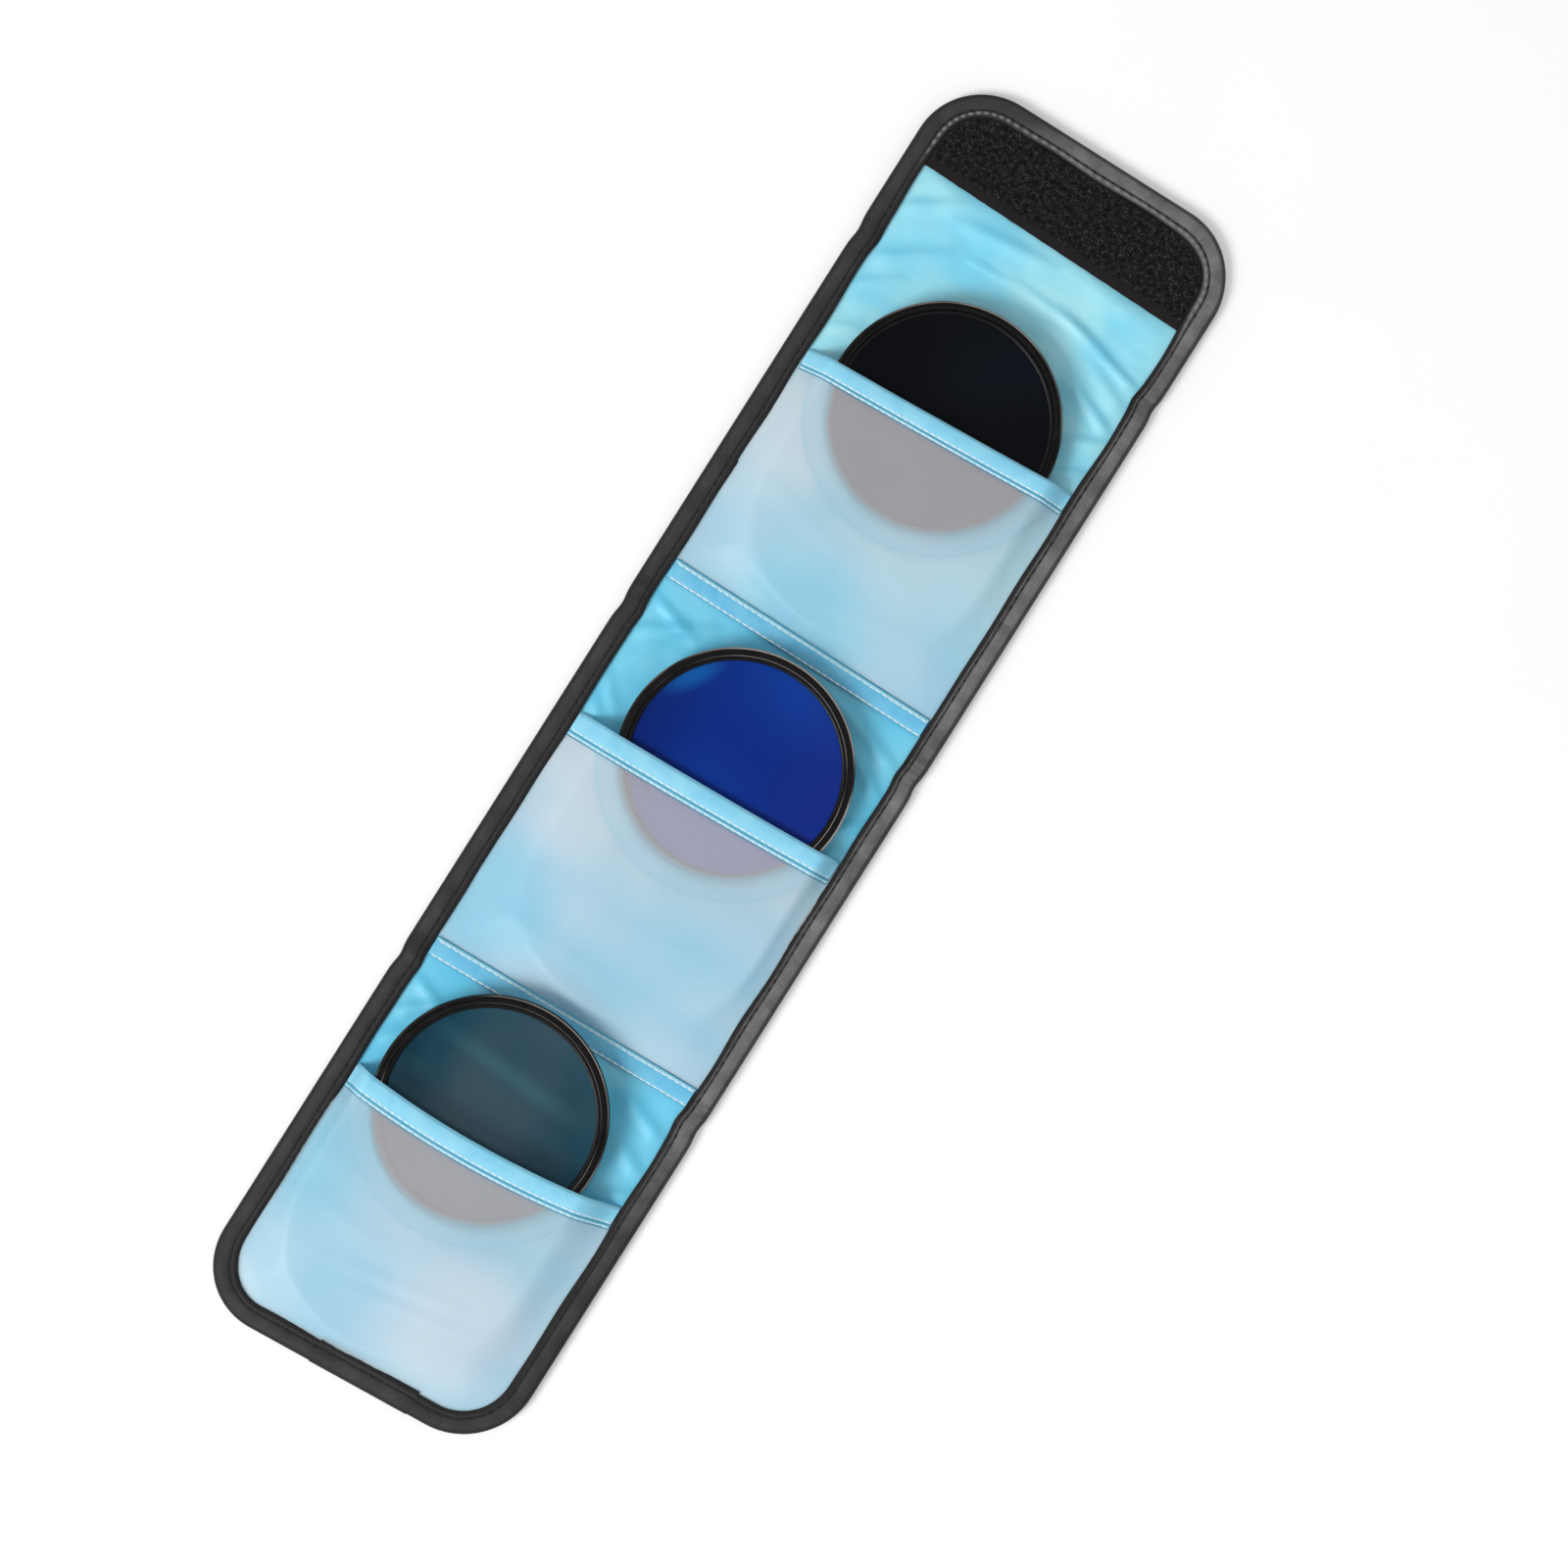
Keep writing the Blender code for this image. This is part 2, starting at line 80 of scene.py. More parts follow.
# %% Sizes and the way from the case's places to points
MM = 0.001
HALF_WIDTH, LENGTH, CORNER = 58.5 * MM, 480.6 * MM, 25 * MM
BINDING_REACH = 8.2 * MM
FACE_HALF = 50.0 * MM
LINING_TOP, FACE_Z = 3.1 * MM, 3.4 * MM
CREASES = 63.4 * MM, 211.4 * MM, 349.0 * MM
PINCH_SHARE, PINCH_LENGTH = 0.011, 3.5 * MM
LEANS = np.array((
    # how far down in mm, and how much a seam there leans for each mm across
    (0, 0), (35, 0.020), (63, -0.010), (105, -0.056), (150, -0.020), (190, 0.006), (212, 0), (252, -0.040),
    (300, -0.030), (342, -0.027), (356, -0.020), (389, -0.072), (435, -0.055), (481, -0.060),
)).T
FOLDS = {
    # the panel before, the panel after, where the soft strip starts and ends, how high the fold's axis is
    "flap": ("flap", "top_panel", 53.9 * MM, 72.9 * MM, 22.73 * MM),
    "upper": ("top_panel", "middle_panel", 196.5 * MM, 213.5 * MM, 19.66 * MM),
    "lower": ("middle_panel", "bottom_panel", 337.5 * MM, 348.5 * MM, 12.82 * MM),
}


def place(across, down, height):
    """Points from places: y is half the length less how far down, less the lean's share of x."""
    pinch = sum(PINCH_SHARE * np.exp(-((down - crease) / PINCH_LENGTH) ** 2) for crease in CREASES)
    lean = np.interp(down, LEANS[0] * MM, LEANS[1])
    points = (across * (1 - pinch), LENGTH / 2 - down - lean * across, height)
    return np.stack(np.broadcast_arrays(*points), -1)


def half_width(down, inset):
    """Half the case's width at a distance down, less an inset: the corners are quarter circles."""
    reach = CORNER - inset
    from_end = np.minimum(down, LENGTH - down)
    drop = np.clip(CORNER - from_end, 0, reach)
    return HALF_WIDTH - CORNER + np.sqrt(reach**2 - drop**2)


def smoothstep(share):
    """0 below 0, 1 above 1, and 3 s^2 - 2 s^3 between."""
    share = np.clip(share, 0, 1)
    return share * share * (3 - 2 * share)


def outside_run(down):
    """The distance down along the outside of the shut case.

    A shut fold's outside is pi times its axis's height, in place of the length of its strip."""
    bends = (
        (math.pi * high - (end - start)) * smoothstep((down - start) / (end - start))
        for _, _, start, end, high in FOLDS.values()
    )
    return down + sum(bends)


def ripple(first, second, size, seed, waves=7):
    """Soft unevenness, mostly from -1 to 1: sine waves in scattered directions, about size long."""
    draw = np.random.default_rng(seed)
    total = 0
    for angle, phase, stretch in draw.random((waves, 3)) * (2 * math.pi, 2 * math.pi, 1):
        length = size * (0.6 + 0.8 * stretch)
        run = first * math.cos(angle) + second * math.sin(angle)
        total = total + np.sin(2 * math.pi * run / length + phase)
    return total / math.sqrt(waves)


print("the case is", round(2 * HALF_WIDTH / MM, 1), "by", round(LENGTH / MM, 1), "mm")

# %% [markdown]
# ## Surfaces from grids
#
# Nearly every piece here is a sheet or a profile carried along a path, so its points form a grid of
# rows and columns. The grid becomes a mesh in one step, each cell a face, and the same grid carries
# the UV map that the weave follows when the cloth bends. An open sheet's outer edges are marked sharp,
# so that its top stays evenly lit up to the edge once it has a thickness.

# %% Meshes from grids of points
SAME_POINT = MM / 1000
FOLD_STEP = 0.5 * MM
CORNER_STEPS = 24


def turn_outwards(mesh, merge=False, fill=False):
    """Turns every face outwards, after merging points that coincide and closing open ends."""
    shell = bmesh.new()
    shell.from_mesh(mesh)
    if merge:
        bmesh.ops.remove_doubles(shell, verts=shell.verts, dist=SAME_POINT)
    if fill:
        bmesh.ops.holes_fill(shell, edges=shell.edges)
    bmesh.ops.recalc_face_normals(shell, faces=shell.faces)
    shell.to_mesh(mesh)
    shell.free()


def new_piece(name, mesh, finish):
    """A smooth object of a mesh, in one material."""
    mesh.shade_smooth()
    mesh.materials.append(finish)
    made = bpy.data.objects.new(name, mesh)
    bpy.context.scene.collection.objects.link(made)
    return made


def surface(name, points, finish, uv=None, close_rows=False, close_columns=False, merge=False):
    """A mesh whose faces are the cells of a rows x columns x 3 grid, wrapped round where it closes."""
    rows, columns = points.shape[:2]
    index = np.arange(rows * columns).reshape(rows, columns)
    index = np.vstack([index, index[:1]]) if close_rows else index
    index = np.hstack([index, index[:, :1]]) if close_columns else index

    def corners(grid):
        return np.stack([grid[:-1, :-1], grid[:-1, 1:], grid[1:, 1:], grid[1:, :-1]], -1).reshape(-1, 4)

    mesh = bpy.data.meshes.new(name)
    mesh.from_pydata(points.reshape(-1, 3).tolist(), [], corners(index).tolist())
    if uv is not None:
        order = corners(np.arange(index.size).reshape(index.shape))
        layer = mesh.uv_layers.new(name="UVMap")
        layer.data.foreach_set("uv", np.asarray(uv).reshape(-1, 2)[order.ravel()].astype(np.float32).ravel())
    if merge or close_rows or close_columns:
        turn_outwards(mesh, merge, fill=close_columns and not close_rows)
    made = new_piece(name, mesh, finish)
    if close_columns:
        mesh.set_sharp_from_angle(angle=math.radians(60))
    elif not merge:
        corner_edges = np.empty(len(mesh.loops), np.int32)
        mesh.loops.foreach_get("edge_index", corner_edges)
        mesh.edges.foreach_set("use_edge_sharp", np.bincount(corner_edges, minlength=len(mesh.edges)) == 1)
    return made


def tubes(name, rings, finish):
    """Many short tubes as one mesh, from an array of tube x ring x point on the ring x 3."""
    index = np.arange(rings.size // 3).reshape(rings.shape[:3])
    around = np.concatenate([index, index[:, :, :1]], 2)
    cells = np.stack([around[:, :-1, :-1], around[:, 1:, :-1], around[:, 1:, 1:], around[:, :-1, 1:]], -1)
    caps = np.concatenate([index[:, 0, :], index[:, -1, ::-1]])
    mesh = bpy.data.meshes.new(name)
    mesh.from_pydata(rings.reshape(-1, 3).tolist(), [], cells.reshape(-1, 4).tolist() + caps.tolist())
    turn_outwards(mesh)
    return new_piece(name, mesh, finish)


def thicken(piece, thickness):
    """Gives a sheet its thickness, on its underside."""
    wall = piece.modifiers.new("thickness", "SOLIDIFY")
    wall.thickness = thickness
    wall.offset = -1
    return piece


def note(piece, name, values):
    """Stores a value for each of a grid's points, for the piece's material to read."""
    layer = piece.data.attributes.new(name, "FLOAT", "POINT")
    layer.data.foreach_set("value", values.astype(np.float32).ravel())


def sheet_grid(start, end, inset, across_step, down_step):
    """Across and down for a sheet: shares of the half width, and rows that crowd into folds and corners."""
    rows = np.linspace(start, end, max(2, round((end - start) / down_step)))
    for _, _, low, high, _ in FOLDS.values():
        if start < low and high < end:
            rows = np.concatenate([rows[rows < low], np.arange(low, high, FOLD_STEP), rows[rows > high]])
    turn = np.linspace(0, math.pi / 2, CORNER_STEPS)
    reach = CORNER - inset
    if rows[0] < CORNER:
        rows = np.concatenate([CORNER - reach * np.cos(turn), rows[rows > CORNER]])
    if rows[-1] > LENGTH - CORNER:
        rows = np.concatenate([rows[rows < LENGTH - CORNER], LENGTH - CORNER + reach * np.sin(turn)])
    share = np.linspace(1, -1, 2 * round(HALF_WIDTH / across_step) + 1)
    return half_width(rows, inset)[:, None] * share[None, :], rows[:, None] + 0 * share[None, :]


def sheet_uv(across, down):
    """The UV map of a flat cloth: shares of the case's width and length."""
    return np.stack([across / (2 * HALF_WIDTH) + 0.5, down / LENGTH], -1)


def mount(piece, body, slot, *nodes):
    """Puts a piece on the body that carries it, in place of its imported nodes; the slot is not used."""
    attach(piece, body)
    if nodes:
        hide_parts(*nodes)
    return piece


# %% [markdown]
# ## Shader maths as Python
#
# A node tree is easier to follow as an expression than as a picture of wires. A small class wraps one
# output socket: adding or multiplying it adds the Math node that does so, and one method adds any
# other node. Only what varies over a surface is wired; plain numbers sit on the shader itself.

# %% Wires, colours and materials
class Wire:
    """One output of a material's nodes; its operators add Math nodes, and node() any other."""

    def __init__(self, tree, socket=None):
        self.tree = tree
        self.socket = socket

    def node(self, kind, inputs=(), output=0, **settings):
        made = self.tree.nodes.new("ShaderNode" + kind)
        for setting, value in settings.items():
            setattr(made, setting, value)
        for key, value in dict(inputs).items():
            if isinstance(value, Wire):
                self.tree.links.new(value.socket, made.inputs[key])
            else:
                made.inputs[key].default_value = value
        return Wire(self.tree, made.outputs[output])

    def math(self, operation, *values):
        return self.node("Math", enumerate(values), operation=operation)

    def __add__(self, other):
        return self.math("ADD", self, other)

    def __radd__(self, other):
        return self.math("ADD", other, self)

    def __sub__(self, other):
        return self.math("SUBTRACT", self, other)

    def __rsub__(self, other):
        return self.math("SUBTRACT", other, self)

    def __mul__(self, other):
        return self.math("MULTIPLY", self, other)

    def __rmul__(self, other):
        return self.math("MULTIPLY", other, self)

    def __abs__(self):
        return self.math("ABSOLUTE", self)

    def sine(self, wavelength):
        return self.math("SINE", self * (2 * math.pi / wavelength))

    def over(self, level):
        return self.math("GREATER_THAN", self, level)

    def at_least(self, other):
        return self.math("MAXIMUM", self, other)

    def mix(self, first, second):
        """Two colours, mixed by this value."""
        inputs = {0: self, 6: first, 7: second}
        return self.node("Mix", inputs, output=2, data_type="RGBA", clamp_factor=True)

    def noise(self, scale, detail=2.0, rough=0.5):
        inputs = {"Vector": self, "Scale": scale, "Detail": detail, "Roughness": rough}
        return self.node("TexNoise", inputs)

    def stretched(self, scale):
        return self.node("Mapping", {"Vector": self, "Scale": scale})

    def drawn_out(self, times, turn=0.0):
        """The vector of a pattern that is drawn out a number of times along a direction."""
        inputs = {"Vector": self, "Scale": (times, 1, 1), "Rotation": (0, 0, turn)}
        return self.node("Mapping", inputs, vector_type="TEXTURE")

    def distance(self, point):
        return self.node("VectorMath", {0: self, 1: point}, output=1, operation="DISTANCE")

    def band(self, low, high):
        """0 below low and 1 above high, with a smooth step between."""
        inputs = {0: self, 1: low, 2: high}
        return self.node("MapRange", inputs, interpolation_type="SMOOTHSTEP")

    def line(self, middle, half):
        """1 where this value is a line's middle, falling to 0 at half its width."""
        return 1 - abs(self - middle).band(half * 0.35, half)

    def axes(self):
        """The x and the y of a vector, each as a wire."""
        x = self.node("SeparateXYZ", {0: self})
        return x, Wire(self.tree, x.socket.node.outputs[1])

    def bump(self, depth, strength=1.0):
        return self.node("Bump", {"Height": self, "Distance": depth, "Strength": strength})

    def cloth_mm(self):
        """The UV map of a flat cloth, in millimetres."""
        size = (2 * HALF_WIDTH / MM, LENGTH / MM, 1)
        return self.node("UVMap").stretched(size)

    def solid_mm(self):
        """The place in the object, in millimetres."""
        return self.node("TexCoord", output=3).stretched((1 / MM, 1 / MM, 1 / MM))

    def seen(self):
        """1 where a ray comes straight from the camera or by way of a mirror or a glass, else 0."""
        kinds = "Camera", "Glossy", "Transmission"
        rays = [self.node("LightPath", output=f"Is {kind} Ray") for kind in kinds]
        return self.math("MINIMUM", rays[0] + rays[1] + rays[2], 1.0)


def tone(code):
    """A screen colour, as 0xRRGGBB, in the linear values that a shader takes."""
    parts = [((code >> shift) & 255) / 255 for shift in (16, 8, 0)]
    return (*[p / 12.92 if p <= 0.04045 else ((p + 0.055) / 1.055) ** 2.4 for p in parts], 1.0)


def material(name, look, **settings):
    """A Principled material: settings are its plain values, and look(wire) gives what varies."""
    made = bpy.data.materials.new(name)
    made.use_nodes = True
    tree = made.node_tree
    shader = tree.nodes["Principled BSDF"]
    for setting, value in settings.items():
        shader.inputs[setting.replace("_", " ")].default_value = value
    for socket, value in look(Wire(tree)).items():
        tree.links.new(value.socket, shader.inputs[socket])
    return made


# %% [markdown]
# ## The cloths
#
# The lining is a thin satin nylon. Up close it has a fine weave, and from a step away it shows soft
# clouds of lighter and deeper blue, with fine lines where the sewing pulls it. The outside is a coarse
# black canvas, where pairs of threads pass over and under each other and leave a grid of small
# pillows. Both patterns are worked out on the UV map, so they stay on the cloth when it bends.

# %% Lining and canvas
def weave(wire, pitch):
    """A plain weave on a vector in mm: pillow height, and which thread is on top."""
    x, y = wire.axes()
    across, along = x.sine(2 * pitch), y.sine(2 * pitch)
    return abs(across) * abs(along), (across * along).over(0.0)


def lining_look(wire):
    """Satin blue, with painted light that makes the flap paler, and painted shade that deepens it further
    down and at the foot of each wrinkle.
    """
    cloth = wire.cloth_mm()
    down = cloth.axes()[1]
    cloud = cloth.noise(0.03, 3.0)
    pulls = cloth.drawn_out(4, 0.06).noise(0.07, 3.0)
    crease = wire.node("Attribute", output=2, attribute_name="crease")
    pillow, on_top = weave(cloth, 0.28)
    colour = (cloud * 0.6 + pulls * 0.4).band(0.34, 0.66).mix(tone(0x7EE0FE), tone(0xB0F4FF))
    # painted shade: a deeper blue further down the case than on the flap
    colour = (down.band(120, 200) * (1.1 - cloud * 0.8)).mix(colour, tone(0x46C8F2))
    # painted shade at the foot of each wrinkle, from the crease values
    colour = (crease * 0.5).mix(colour, tone(0x38B4DC))
    colour = (on_top * 0.10).mix(colour, tone(0xC0F0FC))
    height = pulls * 1.6 + cloud + pillow * 0.03
    return {"Base Color": colour, "Roughness": 0.36 + cloud * 0.14, "Normal": height.bump(0.9 * MM, 0.4)}


def canvas_look(wire):
    cloth = wire.cloth_mm()
    pillow, on_top = weave(cloth, 1.25)
    fibre = cloth.noise(3.2, 3.0, 0.7)
    wear = cloth.noise(0.05, 3.0)
    # painted light: the weave's pillows are lighter on top, mixed with random fibre and wear
    lit = pillow * (0.35 + on_top * 0.4) * (0.5 + fibre) + wear * 0.12
    height = pillow + fibre * 0.25
    return {
        "Base Color": lit.mix(tone(0x0C0C0C), tone(0x484745)),
        "Roughness": 0.95 - pillow * 0.2,
        "Normal": height.bump(0.35 * MM, 0.9),
    }


LINING = material("sky_blue_lining", lining_look, Sheen_Weight=0.15, Sheen_Roughness=0.4)
CANVAS = material("black_basket_canvas", canvas_look)

# %% [markdown]
# ## Ribbons and thread
#
# The binding is a grosgrain ribbon, with fine ribs across it, and the blue hems are a smoother ribbon
# of the same kind. The u of a ribbon's UV map runs along it and the v is the distance from its edge,
# so that lines of painted shade and light can follow it. The binding is painted black as shade where
# it rolls over the case's rim, in the furrow that the stitches pull and along its inner edge. It is
# painted lighter along the tip and the right side, as light falling there, and the tip has a painted
# highlight on the ridge inside the stitches, where the stiff strip below lifts it.

# %% Ribbons and thread
RIBBON_SPAN = 100 * MM
BINDING_PITCH = 3.6 * MM


def ribbed(wire, rib):
    """A ribbon's two directions in mm, its ribs, a soft cloud, and the height that they make."""
    run = wire.node("UVMap").stretched((RIBBON_SPAN / MM, RIBBON_SPAN / MM, 1))
    along, from_edge = run.axes()
    ribs = along.sine(rib) * 0.5 + 0.5
    yarn = from_edge.sine(rib * 0.8) * 0.5 + 0.5
    cloud = run.noise(0.10, 4.0, 0.6)
    return along, from_edge, ribs, cloud, ribs * 0.6 + ribs * yarn * 0.4 + cloud * 0.8


def ribbon_look(low, high, lines):
    """A fine ribbon with lines of painted shade and light along it, each (middle in mm, half width in mm,
    strength, colour).
    """
    def look(wire):
        _, from_edge, ribs, cloud, height = ribbed(wire, 0.45)
        colour = (ribs * 0.35 + cloud * 0.9).band(0.30, 0.95).mix(tone(low), tone(high))
        for middle, half, strength, shade in lines:
            colour = (from_edge.line(middle, half) * strength).mix(colour, tone(shade))
        return {"Base Color": colour, "Roughness": 0.5 + cloud * 0.2, "Normal": height.bump(0.06 * MM, 0.6)}

    return look


def binding_look(wire):
    along, from_edge, ribs, cloud, height = ribbed(wire, 0.75)
    mottle = (ribs * 0.3 + cloud * 0.9).band(0.30, 0.95)
    painted_light, tip = (wire.node("Attribute", output=2, attribute_name=name) for name in ("painted_light", "tip"))
    # painted light: a lighter copy of the ribbon's colour on the right side and towards the tip
    colour = painted_light.mix(mottle.mix(tone(0x1B1A1B), tone(0x403D3D)), mottle.mix(tone(0x484647), tone(0x8C8A88)))
    stitched = 0.1 + 0.45 * (along.sine(BINDING_PITCH / MM) + 1)
    # painted highlight: a pale line, spotted at the stitch pitch, on the ridge inside the tip's stitches
    colour = (from_edge.line(1.8, 0.9) * tip * stitched).mix(colour, tone(0x8A8785))
    # painted shade: black along the inner edge, in the stitches' furrow and where the ribbon rolls over the
    # rim
    inner_edge = 1 - (from_edge + tip).band(1.2, 2.3)
    furrow, rim = from_edge.line(2.7, 0.7) * 0.8, from_edge.band(6.5, 7.6) * 0.75
    painted_shade = inner_edge.at_least(furrow).at_least(rim)
    return {
        "Base Color": painted_shade.mix(colour, tone(0x0A090B)),
        "Roughness": 0.55 + cloud * 0.2,
        "Normal": height.bump(0.16 * MM, 0.6),
    }


def thread_look(low, high):
    def look(wire):
        twist = wire.solid_mm().noise(2.5, 2.0)
        return {"Base Color": twist.mix(tone(low), tone(high)), "Normal": twist.bump(0.1 * MM)}

    return look


# painted shade on the hem: lines between its rows of stitches and along its lower edge; painted light and
# shade on the band: a pale strip under its upper edge and lines along both edges
HEM_PAINTED_SHADE = (6.5, 0.45, 0.8, 0x1D86A6), (8.0, 0.50, 0.8, 0x1F6F92)
BAND_PAINTED_LIGHT_AND_SHADE = (0.7, 0.80, 0.7, 0xA6E8F8), (0.0, 0.45, 0.7, 0x2A86A8), (7.0, 0.35, 0.7, 0x2A7FA4)
BINDING = material("charcoal_binding_ribbon", binding_look, Specular_IOR_Level=0.3)
HEM_RIBBON = material("pale_hem_ribbon", ribbon_look(0x70CCF0, 0xA2E3F8, HEM_PAINTED_SHADE))
BAND_RIBBON = material("blue_band_ribbon", ribbon_look(0x4FB6E8, 0x86D6F3, BAND_PAINTED_LIGHT_AND_SHADE))
BLACK_THREAD = material(
    "black_thread", thread_look(0x070707, 0x1C1B1B), Roughness=0.6, Specular_IOR_Level=0.2
)
PALE_THREAD = material("pale_thread", thread_look(0xD2F6FF, 0xF8FEFF), Roughness=0.4)

# %% [markdown]
# ## Film, pile and foam
#
# The pocket fronts are a frosted film: milky, and see-through enough for the lower half of each filter
# to show as a grey disc with soft edges. Rays that scatter in the film would do that, but slowly, so
# the film is a pale surface that is partly transparent. It is clearest where a filter rubs it, and in
# a narrow ring round that place it is milky, in the blue that the lining lends the rest of the film.
# That takes the sharpness off a disc's edge, and shows little where no disc lies. The hook and loop
# strips are a woven black tape under a speckled pile, and the foam is hidden between the cloths.

# %% Film, pile and foam
FILTER_RADIUS = 40 * MM
FILM_PLACES = {
    # across and down, in mm, of the rubbed place, of the milkiest patch and of the clearest
    "top": ((0.4, 104.0), (-40, 130), (-4, 184)),
    "middle": ((3.6, 237.8), (-38, 267), (-44, 318)),
    "bottom": ((-3.7, 378.6), (24, 450), (-46, 414)),
}


def film_look(*places):
    """Frosted film, clearest in a round place and milkiest in the ring round it."""
    def look(wire):
        cloth = wire.cloth_mm()
        cloud = cloth.noise(0.02, 2.0)
        # painted sheen: long streaks across the film make it paler and milkier, besides their bump
        painted_sheen_streak = cloth.drawn_out(8, 0.07).noise(0.06, 0.0)
        reach, from_pale, from_clear = (cloth.distance((x + HALF_WIDTH / MM, down, 0)) for x, down in places)
        patches = from_clear.band(2, 34) - from_pale.band(2, 34)
        milk = (cloud * 0.4 + painted_sheen_streak * 0.2 + 0.2 + patches * 0.3).band(0.22, 0.78)
        ring = reach.line(FILTER_RADIUS / MM + 1.8, 6.0)
        beyond = reach.band(36, 42)
        colour = beyond.mix(tone(0xF6F5FB), milk.mix(tone(0xD2F2FA), tone(0xF4FAFE)))
        return {
            "Base Color": (ring * 1.5).mix(colour, milk.mix(tone(0xB8E0F0), tone(0xD0E8F4))),
            "Alpha": 0.25 + beyond * (milk * 0.20 - 0.01) + ring * 0.26,
            "Normal": painted_sheen_streak.bump(0.5 * MM, 0.2),
        }

    return look


def pile_look(wire):
    tuft = wire.solid_mm().noise(0.6, 2.0, 0.6).band(0.38, 0.66)
    return {"Base Color": tuft.mix(tone(0x0C0B0B), tone(0x585452)), "Normal": tuft.bump(0.4 * MM)}


def tape_look(wire):
    pillow, _ = weave(wire.cloth_mm(), 0.5)
    # painted light and shade: the weave's pillows lighter on top and darker between the threads
    return {"Base Color": pillow.mix(tone(0x110F10), tone(0x332E30)), "Normal": pillow.bump(0.15 * MM)}


def foam_look(wire):
    cell = wire.solid_mm().noise(2.0, 2.0)
    return {"Base Color": cell.mix(tone(0x50504E), tone(0x7C7B78)), "Normal": cell.bump(0.2 * MM)}


FILMS = {
    name: material(name + "_frosted_film", film_look(*at), Roughness=0.34, Specular_IOR_Level=0.3)
    for name, at in FILM_PLACES.items()
}
PILE = material("black_pile", pile_look, Roughness=0.95, Specular_IOR_Level=0.15)
TAPE = material("black_woven_tape", tape_look, Roughness=0.9, Specular_IOR_Level=0.2)
FOAM = material("grey_foam", foam_look, Roughness=0.95)
print(len(bpy.data.materials), "materials so far")

# %% [markdown]
# ## The cloth across the folds
#
# In the imported model each fold is a hinge between two stiff panels, with a short soft strip below it.
# The real cloth runs straight across, so each cloth here is cut in the middle of the stiff panels
# instead, out of sight under the film, and each length spans one fold.

# %% The three folds
TOP_CUT, MIDDLE_CUT = 150 * MM, 302 * MM
LENGTHS = {"flap": (0, TOP_CUT), "upper": (TOP_CUT, MIDDLE_CUT), "lower": (MIDDLE_CUT, LENGTH)}
PANELS = {"flap": ("flap", "top"), "upper": ("top", "middle"), "lower": ("middle", "bottom")}


def cross_fold(piece):
    """Bakes a piece's transform into its mesh."""
    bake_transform(piece)
    return piece


# %% [markdown]
# ## Canvas and foam
#
# The canvas is the outer shell, and a thin foam pad lies between it and the lining in each panel. A
# full case is thick, so the canvas goes a long way round its folds when it is shut, and its UV map is
# measured along that way: the weave is even on the shut case and gathers at the folds of the open
# one. The pads are thin slabs with softened edges, each inside its own panel.

# %% The canvas and the pads
CLOTH_INSET = 1.0 * MM
CANVAS_TOP, CANVAS_THICKNESS, CANVAS_STEP = 1.4 * MM, 0.6 * MM, 2 * MM
CANVAS_LUMPS = 0.08 * MM
PAD_INSET, PAD_FLOOR, PAD_THICKNESS, PAD_STEP = 9.5 * MM, 2.3 * MM, 0.6 * MM, 4 * MM
PAD_CROWN, PAD_EDGE = 0.15 * MM, 3 * MM
PADS = {
    # body, and where the pad starts and ends, in mm down
    "flap": ("flap", 9, 51), "top": ("top_panel", 75, 194),
    "middle": ("middle_panel", 216, 335), "bottom": ("bottom_panel", 351, 471),
}


def canvas_height(across, down):
    return CANVAS_TOP + CANVAS_LUMPS * ripple(across, down, 30 * MM, 3)


def add_cloth(part, fold, finish, height, thickness, step, measure=lambda down: down):
    """One length of canvas or lining over a fold: a grid of places with height(across, down)."""
    start, end = np.clip(LENGTHS[fold], CLOTH_INSET, LENGTH - CLOTH_INSET)
    across, down = sheet_grid(start, end, CLOTH_INSET, step, step)
    points = place(across, down, height(across, down))
    uv = sheet_uv(across, measure(down))
    made = thicken(surface(f"{part}_over_{fold}_fold", points, finish, uv), thickness)
    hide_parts(*[f"{name}_{part}" for name in (*PANELS[fold], fold + "_fold")])
    cross_fold(made)
    return made, across, down


def add_pad(name, body, start, end):
    """A slab of foam: its top rises by the crown over the first few millimetres from its edge."""
    across, down = sheet_grid(start * MM, end * MM, PAD_INSET, PAD_STEP, PAD_STEP)
    to_side = half_width(down, PAD_INSET) - abs(across)
    edge = np.minimum(to_side, np.minimum(down - start * MM, end * MM - down))
    points = place(across, down, PAD_FLOOR + PAD_CROWN * smoothstep(edge / PAD_EDGE))
    pad = thicken(surface(name + "_foam_pad", points, FOAM, sheet_uv(across, down)), PAD_THICKNESS)
    mount(pad, body, "foam", name + "_pad")


for fold in FOLDS:
    add_cloth("canvas", fold, CANVAS, canvas_height, CANVAS_THICKNESS, CANVAS_STEP, outside_run)
for name, (body, start, end) in PADS.items():
    add_pad(name, body, start, end)
